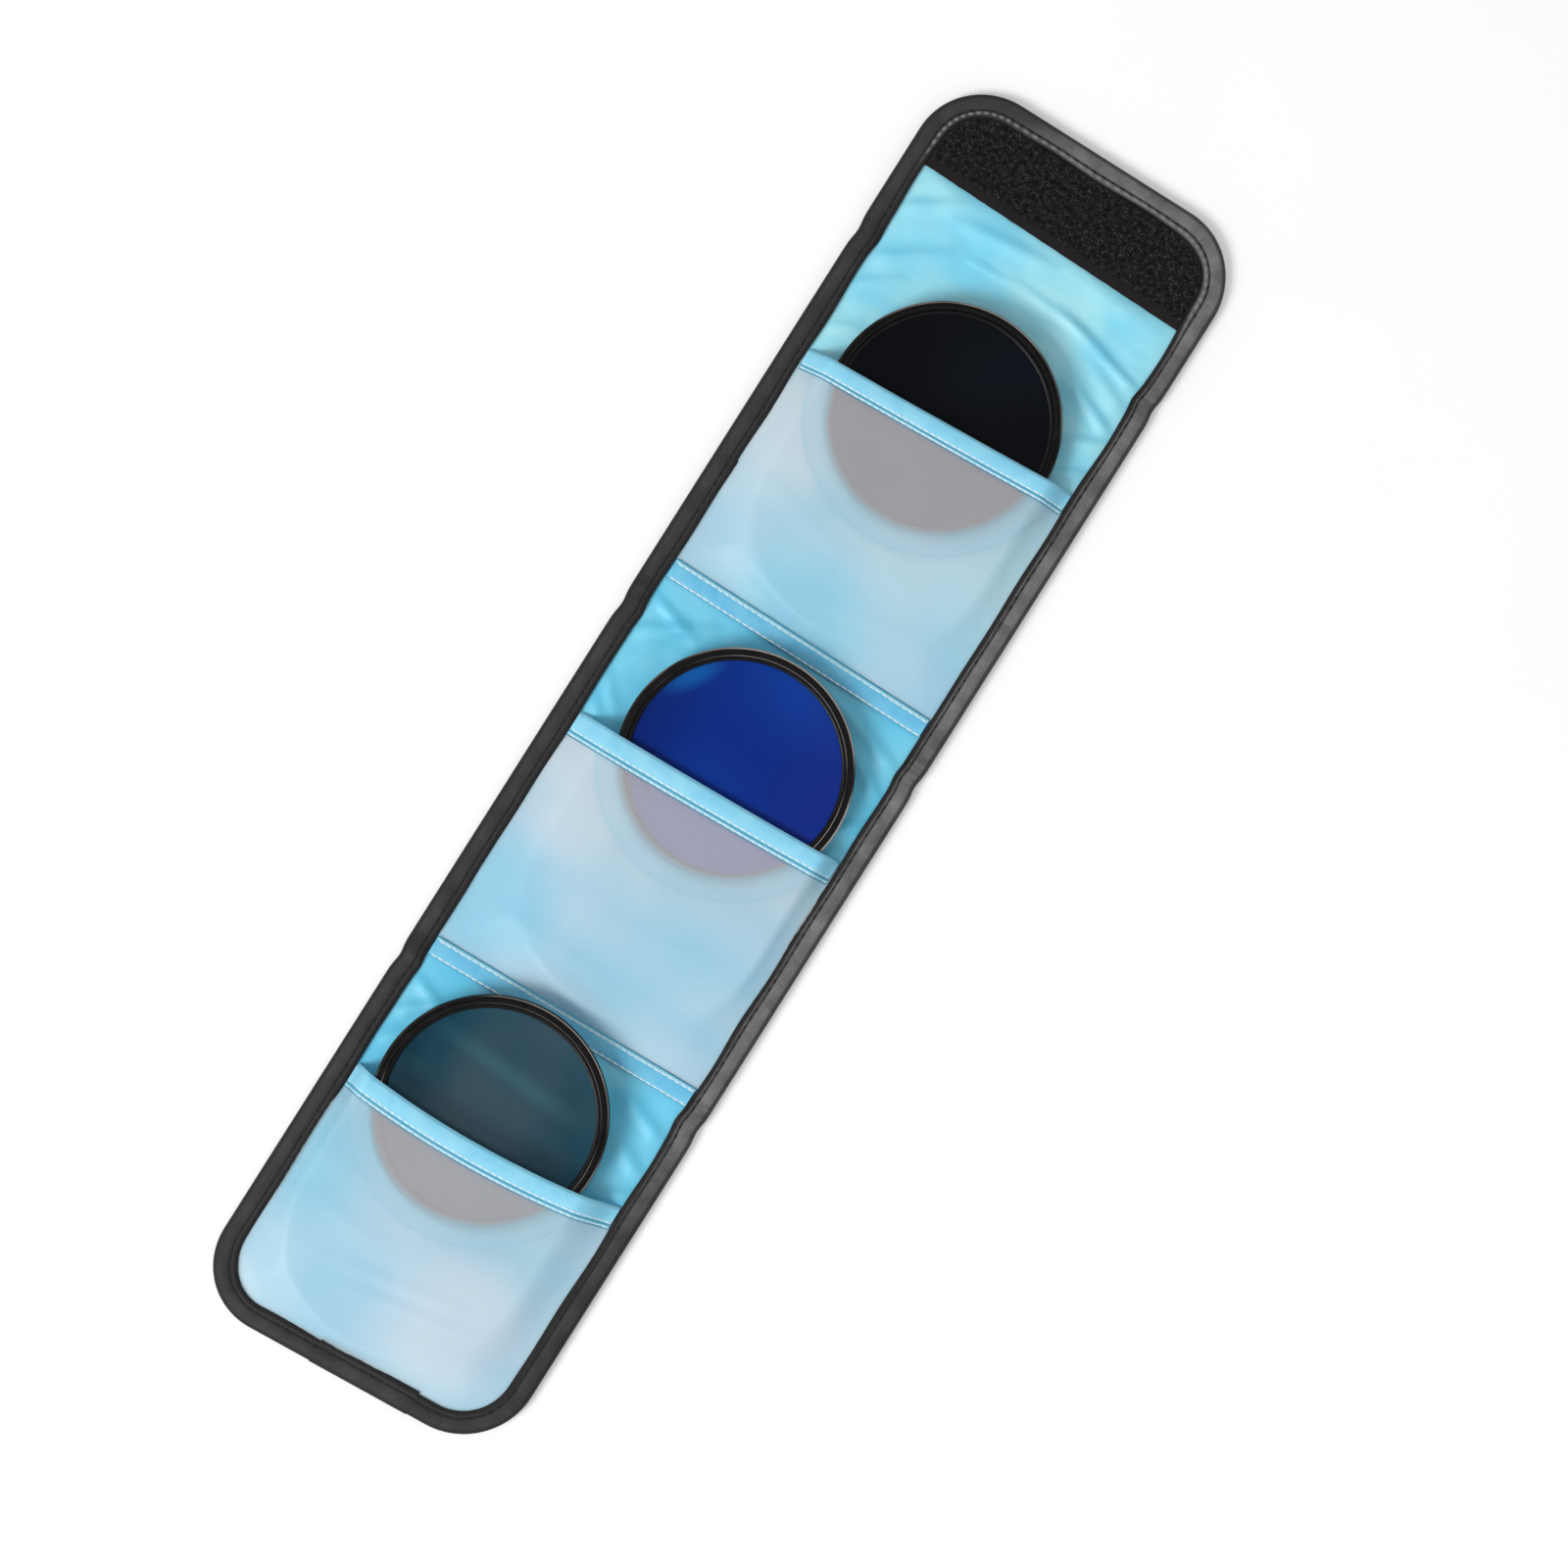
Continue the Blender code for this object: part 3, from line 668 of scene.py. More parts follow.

# %% [markdown]
# ## The lining
#
# The lining is sewn in by its edges and is a little too long for them, so it stands in low wrinkles:
# long ones across the flap, and short tight ones beside the seams, where the sewing gathers it. A
# wrinkle is a smooth ridge along a line between two places. A cloth simulation would wrinkle it too,
# but not where this case has its wrinkles, so the ridges are listed one by one.

# %% The lining's wrinkles
WRINKLES = (
    # across and down of one end, of the other end, height and half width, in mm
    (-36, 45, 8, 40, 0.8, 2.6), (-24, 53, -4, 52, 0.5, 1.2), (-8, 51, 34, 54, 0.7, 1.9),
    (10, 50, 60, 64, 1.0, 2.2), (-58, 55, -30, 38, 0.7, 2.4), (-58, 74, -22, 52, 0.6, 2.8),
    (26, 68, 60, 84, 1.0, 2.2), (22, 56, 60, 75, 0.6, 3.0), (-58, 84, -34, 69, 0.5, 2.2),
    (34, 90, 58, 80, 0.8, 2.4), (-58, 98, -38, 90, 0.5, 2.2), (36, 102, 58, 92, 0.7, 2.2),
    (0, 32, 54, 42, 0.5, 5.5), (-54, 36, -8, 38, 0.4, 4.5), (-14, 62, 26, 58, 0.4, 3.2),
    (-60, 201, -26, 211, 0.8, 2.2), (-58, 221, -24, 202, 0.9, 2.6), (-48, 230, -35, 205, 0.6, 2.6),
    (-60, 233, -40, 250, 0.8, 2.2), (-57, 226, -38, 245, 0.6, 2.4), (16, 199, 60, 214, 0.8, 2.4),
    (30, 210, 60, 228, 0.9, 2.4), (36, 243, 60, 226, 0.8, 2.6), (40, 251, 58, 240, 0.6, 2.2),
    (-60, 349, -30, 360, 0.8, 2.2), (-58, 371, -30, 352, 0.8, 2.4), (-58, 381, -38, 367, 0.6, 2.4),
    (28, 349, 60, 362, 0.8, 2.4), (34, 363, 60, 379, 0.8, 2.6), (40, 387, 58, 374, 0.6, 2.2),
)
BARE = (34, 108), (195, 253), (343, 396)
LINING_THICKNESS, LINING_STEP = 0.3 * MM, 1.1 * MM
LINING_FULLNESS, LINING_LUMPS, WRINKLE_SCALE = 0.25 * MM, 0.12 * MM, 1.2
SIDE_FADE, BARE_FADE = 5 * MM, 6 * MM


def ridges(wrinkles, across, down, shift=0.0, slim=1.0):
    """The sum of the ridges: each falls off as exp(-(distance to its line / its half width)^2).

    Along its line it swells from nothing and back. A shift, in half widths, moves each ridge towards
    the tip, and slim narrows it: together they give the painted shade at the foot of each ridge."""
    total = np.zeros(across.shape)
    for x1, d1, x2, d2, high, wide in np.array(wrinkles) * MM:
        run = np.array((x2 - x1, d2 - d1))
        aside, below = across - x1, down - d1 + shift * wide
        share = np.clip((aside * run[0] + below * run[1]) / (run @ run), 0, 1)
        gap = np.hypot(aside - share * run[0], below - share * run[1])
        total += high * np.sin(math.pi * share) ** 0.8 * np.exp(-((gap / (wide * slim)) ** 2))
    return total


def lining_height(across, down):
    """The lining's top: flat under the binding and the pockets, wrinkled and slightly full elsewhere."""
    inside = smoothstep((half_width(down, BINDING_REACH) - abs(across)) / SIDE_FADE)
    bare = sum(
        smoothstep((down - start * MM) / BARE_FADE) * smoothstep((end * MM - down) / BARE_FADE)
        for start, end in BARE
    )
    wrinkled = WRINKLE_SCALE * ridges(WRINKLES, across, down)
    full = LINING_FULLNESS + LINING_LUMPS * ripple(across, down, 16 * MM, 5) + wrinkled
    return LINING_TOP + inside * bare * full


# %% The lining over the three folds
for fold in FOLDS:
    cloth = add_cloth("lining", fold, LINING, lining_height, LINING_THICKNESS, LINING_STEP)
    lining, across, down = cloth
    # the crease values paint shade at the foot of each wrinkle
    note(lining, "crease", np.clip(ridges(WRINKLES, across, down, shift=0.8, slim=0.7) / MM, 0, 1))
print("the lining has", len(WRINKLES), "wrinkles")

# %% [markdown]
# ## The binding
#
# The binding is one ribbon folded round the edge and sewn through. Its section is a U lying on its
# side: a leg below, a rounded nose, and a leg on top with a furrow where the stitches pull it down and
# a low ridge inside them. That section is carried round the outline. The ribbon is cut in the same
# places as the cloths, so that each length spans one fold.

# %% The outline that the ribbon follows
STRAIGHT_END, STRAIGHT_SIDE = HALF_WIDTH - CORNER, LENGTH - 2 * CORNER
ARC = math.pi / 2 * CORNER
AROUND = 4 * STRAIGHT_END + 2 * STRAIGHT_SIDE + 4 * ARC


def outline_table():
    """Lengths round the outline from the tip's middle, with place and inward direction at each."""
    turn = np.linspace(0, math.pi / 2, 25)
    sides = [(0.0, 0.0, 0.0, 0.0, 1.0)]
    low = LENGTH - CORNER
    for centre_across, centre_down, start in (
        (STRAIGHT_END, CORNER, 0), (STRAIGHT_END, low, 1),
        (-STRAIGHT_END, low, 2), (-STRAIGHT_END, CORNER, 3),
    ):
        straight = STRAIGHT_END + (start // 2) * 2 * STRAIGHT_END + ((start + 1) // 2) * STRAIGHT_SIDE
        begin = straight + start * ARC
        angle = turn + start * math.pi / 2
        out_across, out_down = np.sin(angle), -np.cos(angle)
        sides.extend(zip(
            begin + CORNER * turn, centre_across + CORNER * out_across, centre_down + CORNER * out_down,
            -out_across, -out_down,
        ))
    sides.append((AROUND, 0.0, 0.0, 0.0, 1.0))
    return np.array(sides).T


OUTLINE = outline_table()


def edge_place(run, inset):
    """The across and down of a point at a length round the outline and an inset from it."""
    run = run % AROUND
    across, down, in_across, in_down = (np.interp(run, OUTLINE[0], column) for column in OUTLINE[1:])
    return across + inset * in_across, down + inset * in_down


def side_run(down, right=True):
    """The length round the outline at which a side is this far down."""
    run = STRAIGHT_END + ARC + down - CORNER
    return run if right else AROUND - run


# %% The ribbon's section
FURROW_INSET, NOSE = 5.7 * MM, 1.3 * MM
LEG_TOP, LEG_UNDER, LOWER_LEG = 4.45 * MM, 3.95 * MM, 0.5 * MM
OUTER_SWELL, INNER_SWELL = 0.32 * MM, 0.24 * MM
FURROW_DEPTH, FURROW_HALF = 0.22 * MM, 0.5 * MM
CREASE_DIP, CREASE_HALF = 0.45 * MM, 2.0 * MM


def leg_top(inset):
    """The upper face's height: half a sine outside the stitches, a furrow along them, a ridge inside."""
    outside = np.clip((inset - NOSE) / (FURROW_INSET - NOSE), 0, 1)
    inside = np.clip((inset - FURROW_INSET) / (BINDING_REACH - FURROW_INSET), 0, 1)
    full = OUTER_SWELL * np.sin(math.pi * outside) + INNER_SWELL * np.sin(math.pi * inside)
    return LEG_TOP + full - FURROW_DEPTH * np.exp(-(((inset - FURROW_INSET) / FURROW_HALF) ** 2))


def ribbon_section():
    """The closed section: insets, heights, and lengths along the ribbon from its nearer edge."""
    leg = np.linspace(BINDING_REACH, NOSE, 5)[:-1]
    turn = np.linspace(-math.pi / 2, math.pi / 2, 11)
    upper = np.linspace(NOSE, BINDING_REACH - 0.2 * MM, 22)[1:]
    inner = np.array((BINDING_REACH, 5.0 * MM, NOSE))
    insets = [leg, NOSE * (1 - np.cos(turn)), upper, [BINDING_REACH], inner, inner[::-1]]
    heights = [
        0 * leg, LEG_TOP / 2 * (1 + np.sin(turn)), leg_top(upper), [LEG_TOP - 0.15 * MM],
        0 * inner + LEG_UNDER, 0 * inner + LOWER_LEG,
    ]
    insets, heights = np.concatenate(insets), np.concatenate(heights)
    along = np.concatenate([[0], np.cumsum(np.hypot(np.diff(insets), np.diff(heights)))])
    upper_edge = along[len(leg) + len(turn) + len(upper)]
    return insets, heights, np.append(np.minimum(along, abs(upper_edge - along)), 0)


INSETS, HEIGHTS, FROM_EDGE = ribbon_section()


def crease_dip(down):
    """How deep a fold has pressed the ribbon in at this distance down: a bell curve at each crease."""
    return CREASE_DIP * sum(np.exp(-(((down - crease) / CREASE_HALF) ** 2)) for crease in CREASES)


def add_binding(name, start, end, over=0.0, wider=0.0):
    """The ribbon from one length round the outline to another; a lapped end lies over and is wider."""
    run = np.linspace(start, end, round((end - start) / (0.7 * MM)))[:, None]
    wander = ripple(run, 0 * run, 26 * MM, 11) * 0.22 * MM
    insets = INSETS + np.clip((INSETS - 3 * MM) / (5 * MM), 0, 1) * (wander + wider) - over * (INSETS < NOSE)
    across, down = edge_place(run, insets)
    upper = np.clip((HEIGHTS - 3 * MM) / MM, 0, 1)
    pucker = 0.05 * MM * np.cos(2 * math.pi * run / BINDING_PITCH) * np.clip((INSETS - 5 * MM) / MM, 0, 1)
    lift = upper * (0.10 * MM * ripple(run, INSETS, 9 * MM, 12) + pucker - crease_dip(down) + over)
    points = place(across, down, np.maximum(HEIGHTS + lift, HEIGHTS * 0.85))
    slack = outside_run(down) - down
    along = run + np.sign(across) * (slack - slack[len(run) // 2])
    along = np.hstack([along, along[:, :1]])
    uv = np.stack(np.broadcast_arrays(along / RIBBON_SPAN, FROM_EDGE / RIBBON_SPAN), -1)
    made = surface(name, points, BINDING, uv, close_columns=True)
    # painted light: high on the right side and down to about 330 mm, gone by 420 mm
    note(made, "painted_light", smoothstep((across / MM + 40) / 45) * (1 - smoothstep((down / MM - 330) / 90)))
    note(made, "tip", upper * (1 - smoothstep((down / MM - 22) / 18)))
    return made


# %% The lengths of binding and the lapped end
FOOT_MIDDLE = AROUND / 2
LAP = FOOT_MIDDLE - 26 * MM, FOOT_MIDDLE + 11 * MM
LAP_OVER = 0.25 * MM
FLAP_RUN = -side_run(TOP_CUT), side_run(TOP_CUT)
SIDE_RUNS = {
    side: sorted(side_run(down, side == "right") for down in (TOP_CUT, MIDDLE_CUT))
    for side in ("right", "left")
}
FOOT_RUN = side_run(MIDDLE_CUT), side_run(MIDDLE_CUT, False)

flap_edge = add_binding("binding_over_flap_fold", *FLAP_RUN)
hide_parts("flap_binding", "flap_fold_binding_left", "flap_fold_binding_right")
cross_fold(flap_edge)
for side, ends in SIDE_RUNS.items():
    side_edge = add_binding(f"binding_over_upper_fold_{side}", *ends)
    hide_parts(*[f"{name}_binding_{side}" for name in ("top", "upper_fold", "middle")])
    cross_fold(side_edge)
foot_edge = add_binding("binding_over_lower_fold", *FOOT_RUN)
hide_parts("bottom_binding", "lower_fold_binding_left", "lower_fold_binding_right")
cross_fold(foot_edge)
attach(add_binding("binding_lapped_end", *LAP, over=LAP_OVER, wider=0.8 * MM), "bottom_panel")
print("binding", round(AROUND / MM), "mm round")

# %% [markdown]
# ## Stitches
#
# A lockstitch shows as a row of short bars of thread, each diving into the cloth at both ends. One
# stitch is a bent tube of a few faces, and a row is the same tube repeated along a line, all worked
# out as one array.

# %% Rows of stitches
THREAD_RADIUS, STITCH_RISE = 0.34 * MM, 0.28 * MM
HEM_PITCH, UNDER_SEAM = 2.6 * MM, 0.15 * MM


def stitch_row(name, line, finish, pitch=HEM_PITCH, share=0.97, up=(0, 0, 1)):
    """A row along a line of points: each stitch is half a sine in height and thins at its ends."""
    steps = np.linalg.norm(np.diff(line, axis=0), axis=1)
    run = np.concatenate([[0], np.cumsum(steps)])

    def line_at(length):
        return np.stack([np.interp(length, run, column) for column in line.T], -1)

    count = int(run[-1] / pitch)
    along = np.linspace(0, 1, 6)
    at = (np.arange(count)[:, None] + 0.5 + (along[None, :] - 0.5) * share) * pitch
    tangent = line_at(at + pitch / 10) - line_at(at - pitch / 10)
    tangent /= np.linalg.norm(tangent, axis=-1, keepdims=True)
    up = np.array(up, float)
    side = np.cross(tangent, up)
    arch = np.sin(math.pi * along)[None, :, None]
    centre = line_at(at) + up * (arch * STITCH_RISE - THREAD_RADIUS)
    turn = np.linspace(0, 2 * math.pi, 6, endpoint=False)
    girth = THREAD_RADIUS * (0.7 + 0.3 * arch)
    spokes = np.cos(turn)[:, None] * side[:, :, None, :] + np.sin(turn)[:, None] * up
    return tubes(name, centre[:, :, None, :] + girth[..., None] * spokes, finish)


def binding_seam(name, start, end, above=True, over=0.0):
    """The stitches in the binding's furrow, on its upper or its lower face."""
    run = np.linspace(start, end, round((end - start) / MM))
    across, down = edge_place(run, FURROW_INSET + 0 * run)
    height = leg_top(FURROW_INSET) - crease_dip(down) + over if above else UNDER_SEAM + 0 * run
    line = place(across, down, height)
    return stitch_row(name, line, BLACK_THREAD, BINDING_PITCH, share=0.62, up=(0, 0, 1 if above else -1))


for face, above in (("upper", True), ("under", False)):
    cross_fold(binding_seam(f"{face}_stitches_flap_fold", *FLAP_RUN, above))
    for side, ends in SIDE_RUNS.items():
        cross_fold(binding_seam(f"{face}_stitches_upper_fold_{side}", *ends, above))
    cross_fold(binding_seam(f"{face}_stitches_lower_fold", *FOOT_RUN, above))
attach(binding_seam("lap_stitches", *LAP, over=LAP_OVER), "bottom_panel")
print("binding stitched")

# %% [markdown]
# ## The pockets
#
# A pocket front is a sheet of film sewn down on three sides, with a blue ribbon over its open edge.
# It is cut a little full so that a filter slides in under it, so the sheet stands up over the strip
# that the filter sweeps and falls to the lining round it. Height is worked out from the distance to
# that strip. The ribbon repeats the film's height, so that it lies on it.

# %% Where each pocket is and how high its film stands
# a filter slides in a plane that leans by TILT radians, which is a rise of SLOPE for each mm up the case
TILT, SLOPE = 0.0479337, 0.04797
FILM_CLEARANCE, FILM_RIM, FILM_THICKNESS, FILM_LUMPS = 0.75 * MM, 0.35 * MM, 0.25 * MM, 0.10 * MM
FILM_INSET, FILM_ACROSS_STEP, FILM_DOWN_STEP = 6.0 * MM, 1.25 * MM, 1.6 * MM
POCKETS = {
    # body, mouth, hem's end, lowest place of the filter's edge, foot, across, thickness
    "top": ("top_panel", 104.5, 111.4, 184.5, 189.0, 0.4, 4.6),
    "middle": ("middle_panel", 248.7, 256.7, 331.5, 336.4, 3.6, 4.6),
    "bottom": ("bottom_panel", 385.9, 393.8, 467.3, 473.0, -3.7, 6.0),
}
MOUTH_SAGS = {"top": 0.3 * MM, "middle": 0.4 * MM, "bottom": 3.7 * MM}
HEM_SPAN, HEM_LIP, HEM_RISE = 8.0 * MM, 0.8 * MM, 0.75 * MM
HEM_HALF = 49.9 * MM
FILM_WRINKLES = {
    # as the lining's wrinkles
    "top": ((-44, 150, 6, 161, 0.35, 3.2), (-20, 178, 44, 170, 0.35, 2.6)),
    "middle": ((-10, 304, 40, 296, 0.35, 3.0), (-46, 318, 16, 322, 0.35, 2.6)),
    "bottom": ((-32, 447, 26, 440, 0.50, 2.0), (-24, 453, 34, 446, 0.45, 2.0), (-40, 430, 0, 436, 0.35, 3.0)),
}


def film_height(pocket, across, down):
    """The film's top: the filter's own top where it sweeps, and a smooth fall to the rim round it."""
    low_edge, foot, aside, thick = (value * MM for value in POCKETS[pocket][3:])
    top = FACE_Z + (low_edge - down) * SLOPE + thick + FILM_CLEARANCE
    past = np.hypot(across - aside, np.maximum(down - (low_edge - FILTER_RADIUS), 0)) - FILTER_RADIUS
    to_side = half_width(down, BINDING_REACH + 0.2 * MM) - abs(across)
    room = np.maximum(np.minimum(to_side, foot - down), 0)
    share = smoothstep(room / np.maximum(room + np.maximum(past, 0), 1e-6))
    rim = FACE_Z + FILM_RIM
    return rim + (top - rim) * share + FILM_LUMPS * share * ripple(across, down, 28 * MM, 21)


def mouth_sag(pocket, across, down):
    """How far a mouth has stretched down in its middle: a parabola across, gone half way to the foot."""
    mouth, foot = POCKETS[pocket][1] * MM, POCKETS[pocket][4] * MM
    middle = np.clip(1 - ((across - 5 * MM) / FACE_HALF) ** 2, 0, 1)
    return MOUTH_SAGS[pocket] * middle * (1 - smoothstep((down - mouth - HEM_SPAN) * 2 / (foot - mouth)))


def eased(height, times=10):
    """A grid's heights, each drawn a few times towards its neighbours', with the outer ones held."""
    height = height.copy()
    for _ in range(times):
        height[1:-1] = (height[:-2] + 2 * height[1:-1] + height[2:]) / 4
        height[:, 1:-1] = (height[:, :-2] + 2 * height[:, 1:-1] + height[:, 2:]) / 4
    return height


def add_film(pocket):
    """The sheet of film, from just under the hem to past its lower seam."""
    body, mouth, hem_end, _, foot = POCKETS[pocket][:5]
    end = LENGTH / MM - 6.1 if pocket == "bottom" else foot + 0.3
    across, down = sheet_grid(mouth * MM, end * MM, FILM_INSET, FILM_ACROSS_STEP, FILM_DOWN_STEP)
    down = down + mouth_sag(pocket, across, down)
    height = film_height(pocket, across, down)
    softer = np.maximum(eased(height), height - 0.1 * MM) + ridges(FILM_WRINKLES[pocket], across, down)
    height = height + (softer - height) * smoothstep((down - hem_end * MM) / (8 * MM))
    points = place(across, down, height)
    film = surface(pocket + "_frosted_film", points, FILMS[pocket], sheet_uv(across, down))
    thicken(film, FILM_THICKNESS)
    mount(film, body, "film", pocket + "_pocket_film")
    return film, points


# %% [markdown]
# The hem is a ribbon folded over the film's edge. Two rows of stitches near its lower edge hold it,
# and each pulls a furrow. The same shape, lying flat, makes the bands over the pockets' lower seams.

# %% The hems
HEM_LINES, HEM_THICKNESS = (0.71, 0.91), 0.5 * MM
HEM_ROLL, HEM_SWELL, HEM_LUMPS = 0.55 * MM, 0.45 * MM, 0.07 * MM
SEAM_FURROW = 0.20 * MM


def ribbon_across(half, count=111):
    """Places across a ribbon that runs from side to side, as a row."""
    return np.linspace(1, -1, count)[None, :] * half


def ribbon_sheet(name, finish, across, share, span, down, height, thickness):
    """A ribbon as a sheet; share runs from 0 to 1 over its width, and its UV map from its upper edge."""
    uv = np.stack(np.broadcast_arrays(across / RIBBON_SPAN, share * span / RIBBON_SPAN), -1)
    return thicken(surface(name, place(across, down, height), finish, uv), thickness)


def furrows(share, lines, half):
    """How far two rows of stitches pull a ribbon down: a bell curve at each line."""
    return SEAM_FURROW * sum(np.exp(-(((share - line) / half) ** 2)) for line in lines)


def add_hem(pocket):
    """The ribbon over the open edge: full, with a rolled upper edge and two furrows near its lower one."""
    body, mouth, hem_end = POCKETS[pocket][:3]
    start, span = mouth * MM - HEM_LIP, (hem_end - mouth) * MM + HEM_LIP
    across = ribbon_across(HEM_HALF)
    share = np.linspace(0, 1, 28)[:, None]
    down = start + span * share + mouth_sag(pocket, across, start)
    roll = HEM_ROLL * (1 - smoothstep(share / 0.12))
    full = HEM_SWELL * np.sin(math.pi * np.clip(share / 0.69, 0, 1)) ** 0.7
    height = film_height(pocket, across, down) + HEM_RISE + full - roll - furrows(share, HEM_LINES, 0.04)
    height = height + HEM_LUMPS * ripple(across, down, 12 * MM, 31)
    hem = ribbon_sheet(
        pocket + "_ribbon_hem", HEM_RIBBON, across, share, HEM_SPAN, down, height, HEM_THICKNESS
    )
    mount(hem, body, "blue_ribbon", pocket + "_pocket_hem")
    for number, line in enumerate(HEM_LINES):
        at = ribbon_across(HEM_HALF, 100)[0]
        row_down = start + span * line + mouth_sag(pocket, at, start)
        row = place(at, row_down, film_height(pocket, at, row_down) + HEM_RISE)
        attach(stitch_row(f"{pocket}_hem_stitches_{number}", row, PALE_THREAD), body)
    return hem


films = {pocket: add_film(pocket) for pocket in POCKETS}
ribbons = {pocket: [add_hem(pocket)] for pocket in POCKETS}
print("pockets made")

# %% [markdown]
# ## Seam bands
#
# The lower edges of the top and middle pockets are covered with a blue ribbon, sewn along both its
# edges. The middle one lies over the lower fold.

# %% The two seam bands
BAND_LINES, BAND_THICKNESS = (0.16, 0.92), 0.45 * MM
BAND_SPAN, BAND_Z = 7.0 * MM, 4.3 * MM
BAND_SWELL, BAND_LUMPS = 0.40 * MM, 0.06 * MM
BANDS = {
    # where the band starts and ends, in mm down, and how it is held
    "top": (189.6, 196.5, lambda piece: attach(piece, "top_panel")),
    "middle": (336.9, 343.8, lambda piece: cross_fold(piece)),
}


def band_fullness(share):
    """How full a band is over its width: a sine to the power 0.6, which is steep at the edges."""
    return BAND_SWELL * np.sin(math.pi * share) ** 0.6


def add_seam_band(pocket):
    """A flat ribbon, full between its two rows of stitches."""
    name = pocket + "_ribbon_band"
    start, end, hold = BANDS[pocket]
    start, span = start * MM, (end - start) * MM
    across = ribbon_across(HEM_HALF)
    share = np.linspace(0, 1, 22)[:, None]
    down = start + span * share
    height = BAND_Z + band_fullness(share) - furrows(share, BAND_LINES, 0.05)
    height = height + BAND_LUMPS * ripple(across, down, 10 * MM, 41)
    band = ribbon_sheet(name, BAND_RIBBON, across, share, BAND_SPAN, down, height, BAND_THICKNESS)
    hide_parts(pocket + "_seam_band")
    hold(band)
    for number, line in enumerate(BAND_LINES):
        at = ribbon_across(HEM_HALF, 100)[0]
        row = place(at, start + span * line + 0 * at, BAND_Z + band_fullness(line))
        hold(stitch_row(f"{name}_stitches_{number}", row, PALE_THREAD))
    return band


for pocket in BANDS:
    ribbons[pocket].append(add_seam_band(pocket))

# %% [markdown]
# ## Hook and loop strips
#
# The flap closes with a hook strip inside its tip and a loop strip on the back of the middle panel.
# Both are a stiff woven base covered in tiny bent yarns. The base is an uneven sheet, and the yarns
# are little arches scattered over it on a jittered grid, each with a few faces. The base has a bare
# edge along its straight side, where the weave ends.

# %% Pile
def add_pile(name, across, down, height, size, body, slot, seed, up=1):
    """Small arches at the given places, each turned its own way: a thin tube bent to a half circle."""
    draw = np.random.default_rng(seed)
    count = across.size
    heading = draw.random(count) * math.pi
    tall = size * (0.7 + 0.6 * draw.random(count))
    bend = np.linspace(0, math.pi, 5)[None, :, None]
    turn = np.linspace(0, 2 * math.pi, 4, endpoint=False)
    radius = size * 0.25
    flat = -np.cos(bend) * size * 0.55 - radius * np.cos(turn) * np.cos(bend) + 0 * tall[:, None, None]
    high = np.sin(bend) * tall[:, None, None] + radius * np.cos(turn) * np.sin(bend)
    aside = radius * np.sin(turn) + 0 * high
    cos, sin = np.cos(heading)[:, None, None], np.sin(heading)[:, None, None]
    points = place(
        across[:, None, None] + flat * cos - aside * sin,
        down[:, None, None] + flat * sin + aside * cos,
        height + up * high,
    )
    return mount(tubes(name, points, PILE), body, slot)


def jittered(start, end, inset, pitch, seed):
    """Places on a grid over a strip, each moved a little, and only those inside the outline."""
    draw = np.random.default_rng(seed)
    rows, columns = np.arange(start, end, pitch), np.arange(-FACE_HALF, FACE_HALF, pitch)
    down, across = np.meshgrid(rows, columns, indexing="ij")
    across = across + (draw.random(across.shape) - 0.5) * pitch
    down = down + (draw.random(down.shape) - 0.5) * pitch
    keep = (abs(across) < half_width(down, inset)) & (down > start) & (down < end)
    return across[keep], down[keep]


# %% The hook strip and the loop strip
HOOK_EDGE, HOOK_END, HOOK_BASE = 7.4 * MM, 35.0 * MM, 4.55 * MM
HOOK_FOOT, HOOK_THICKNESS, HOOK_STEP = LEG_UNDER - 0.1 * MM, 0.4 * MM, 0.8 * MM
HOOK_PILE_EDGE, HOOK_PILE_END = 8.9 * MM, HOOK_END - 3.4 * MM
HOOK_PITCH, HOOK_SIZE, HOOK_ROOT = 0.8 * MM, 0.65 * MM, HOOK_BASE - 0.1 * MM
LOOP_START, LOOP_END, LOOP_BASE, LOOP_THICKNESS = 290.5 * MM, 319.4 * MM, 0.5 * MM, 0.35 * MM
LOOP_PILE_EDGE, LOOP_BARE = 9.0 * MM, 0.5 * MM
LOOP_PITCH, LOOP_SIZE, LOOP_ROOT = 0.95 * MM, 0.3 * MM, 0.35 * MM


def add_hook_strip():
    """The hook strip's base dips under the binding's edge and is bare for 3 mm at its straight side."""
    across, down = sheet_grid(HOOK_EDGE, HOOK_END, HOOK_EDGE, HOOK_STEP, HOOK_STEP)
    inside = half_width(down, HOOK_EDGE) - abs(across)
    inside = np.where(down < CORNER, np.minimum(inside, down - HOOK_EDGE), inside)
    rise = smoothstep((inside - 0.6 * MM) / (0.9 * MM))
    uneven = 0.12 * MM * ripple(across, down, 2.5 * MM, 51)
    points = place(across, down, HOOK_FOOT + (HOOK_BASE - HOOK_FOOT + uneven) * rise)
    base = thicken(surface("hook_strip_base", points, TAPE, sheet_uv(across, down)), HOOK_THICKNESS)
    mount(base, "flap", "hook_pile", "hook_strip")
    across, down = jittered(HOOK_PILE_EDGE, HOOK_PILE_END, HOOK_PILE_EDGE, HOOK_PITCH, 52)
    add_pile("hook_strip_pile", across, down, HOOK_ROOT, HOOK_SIZE, "flap", "hook_pile", 53)
    return across.size


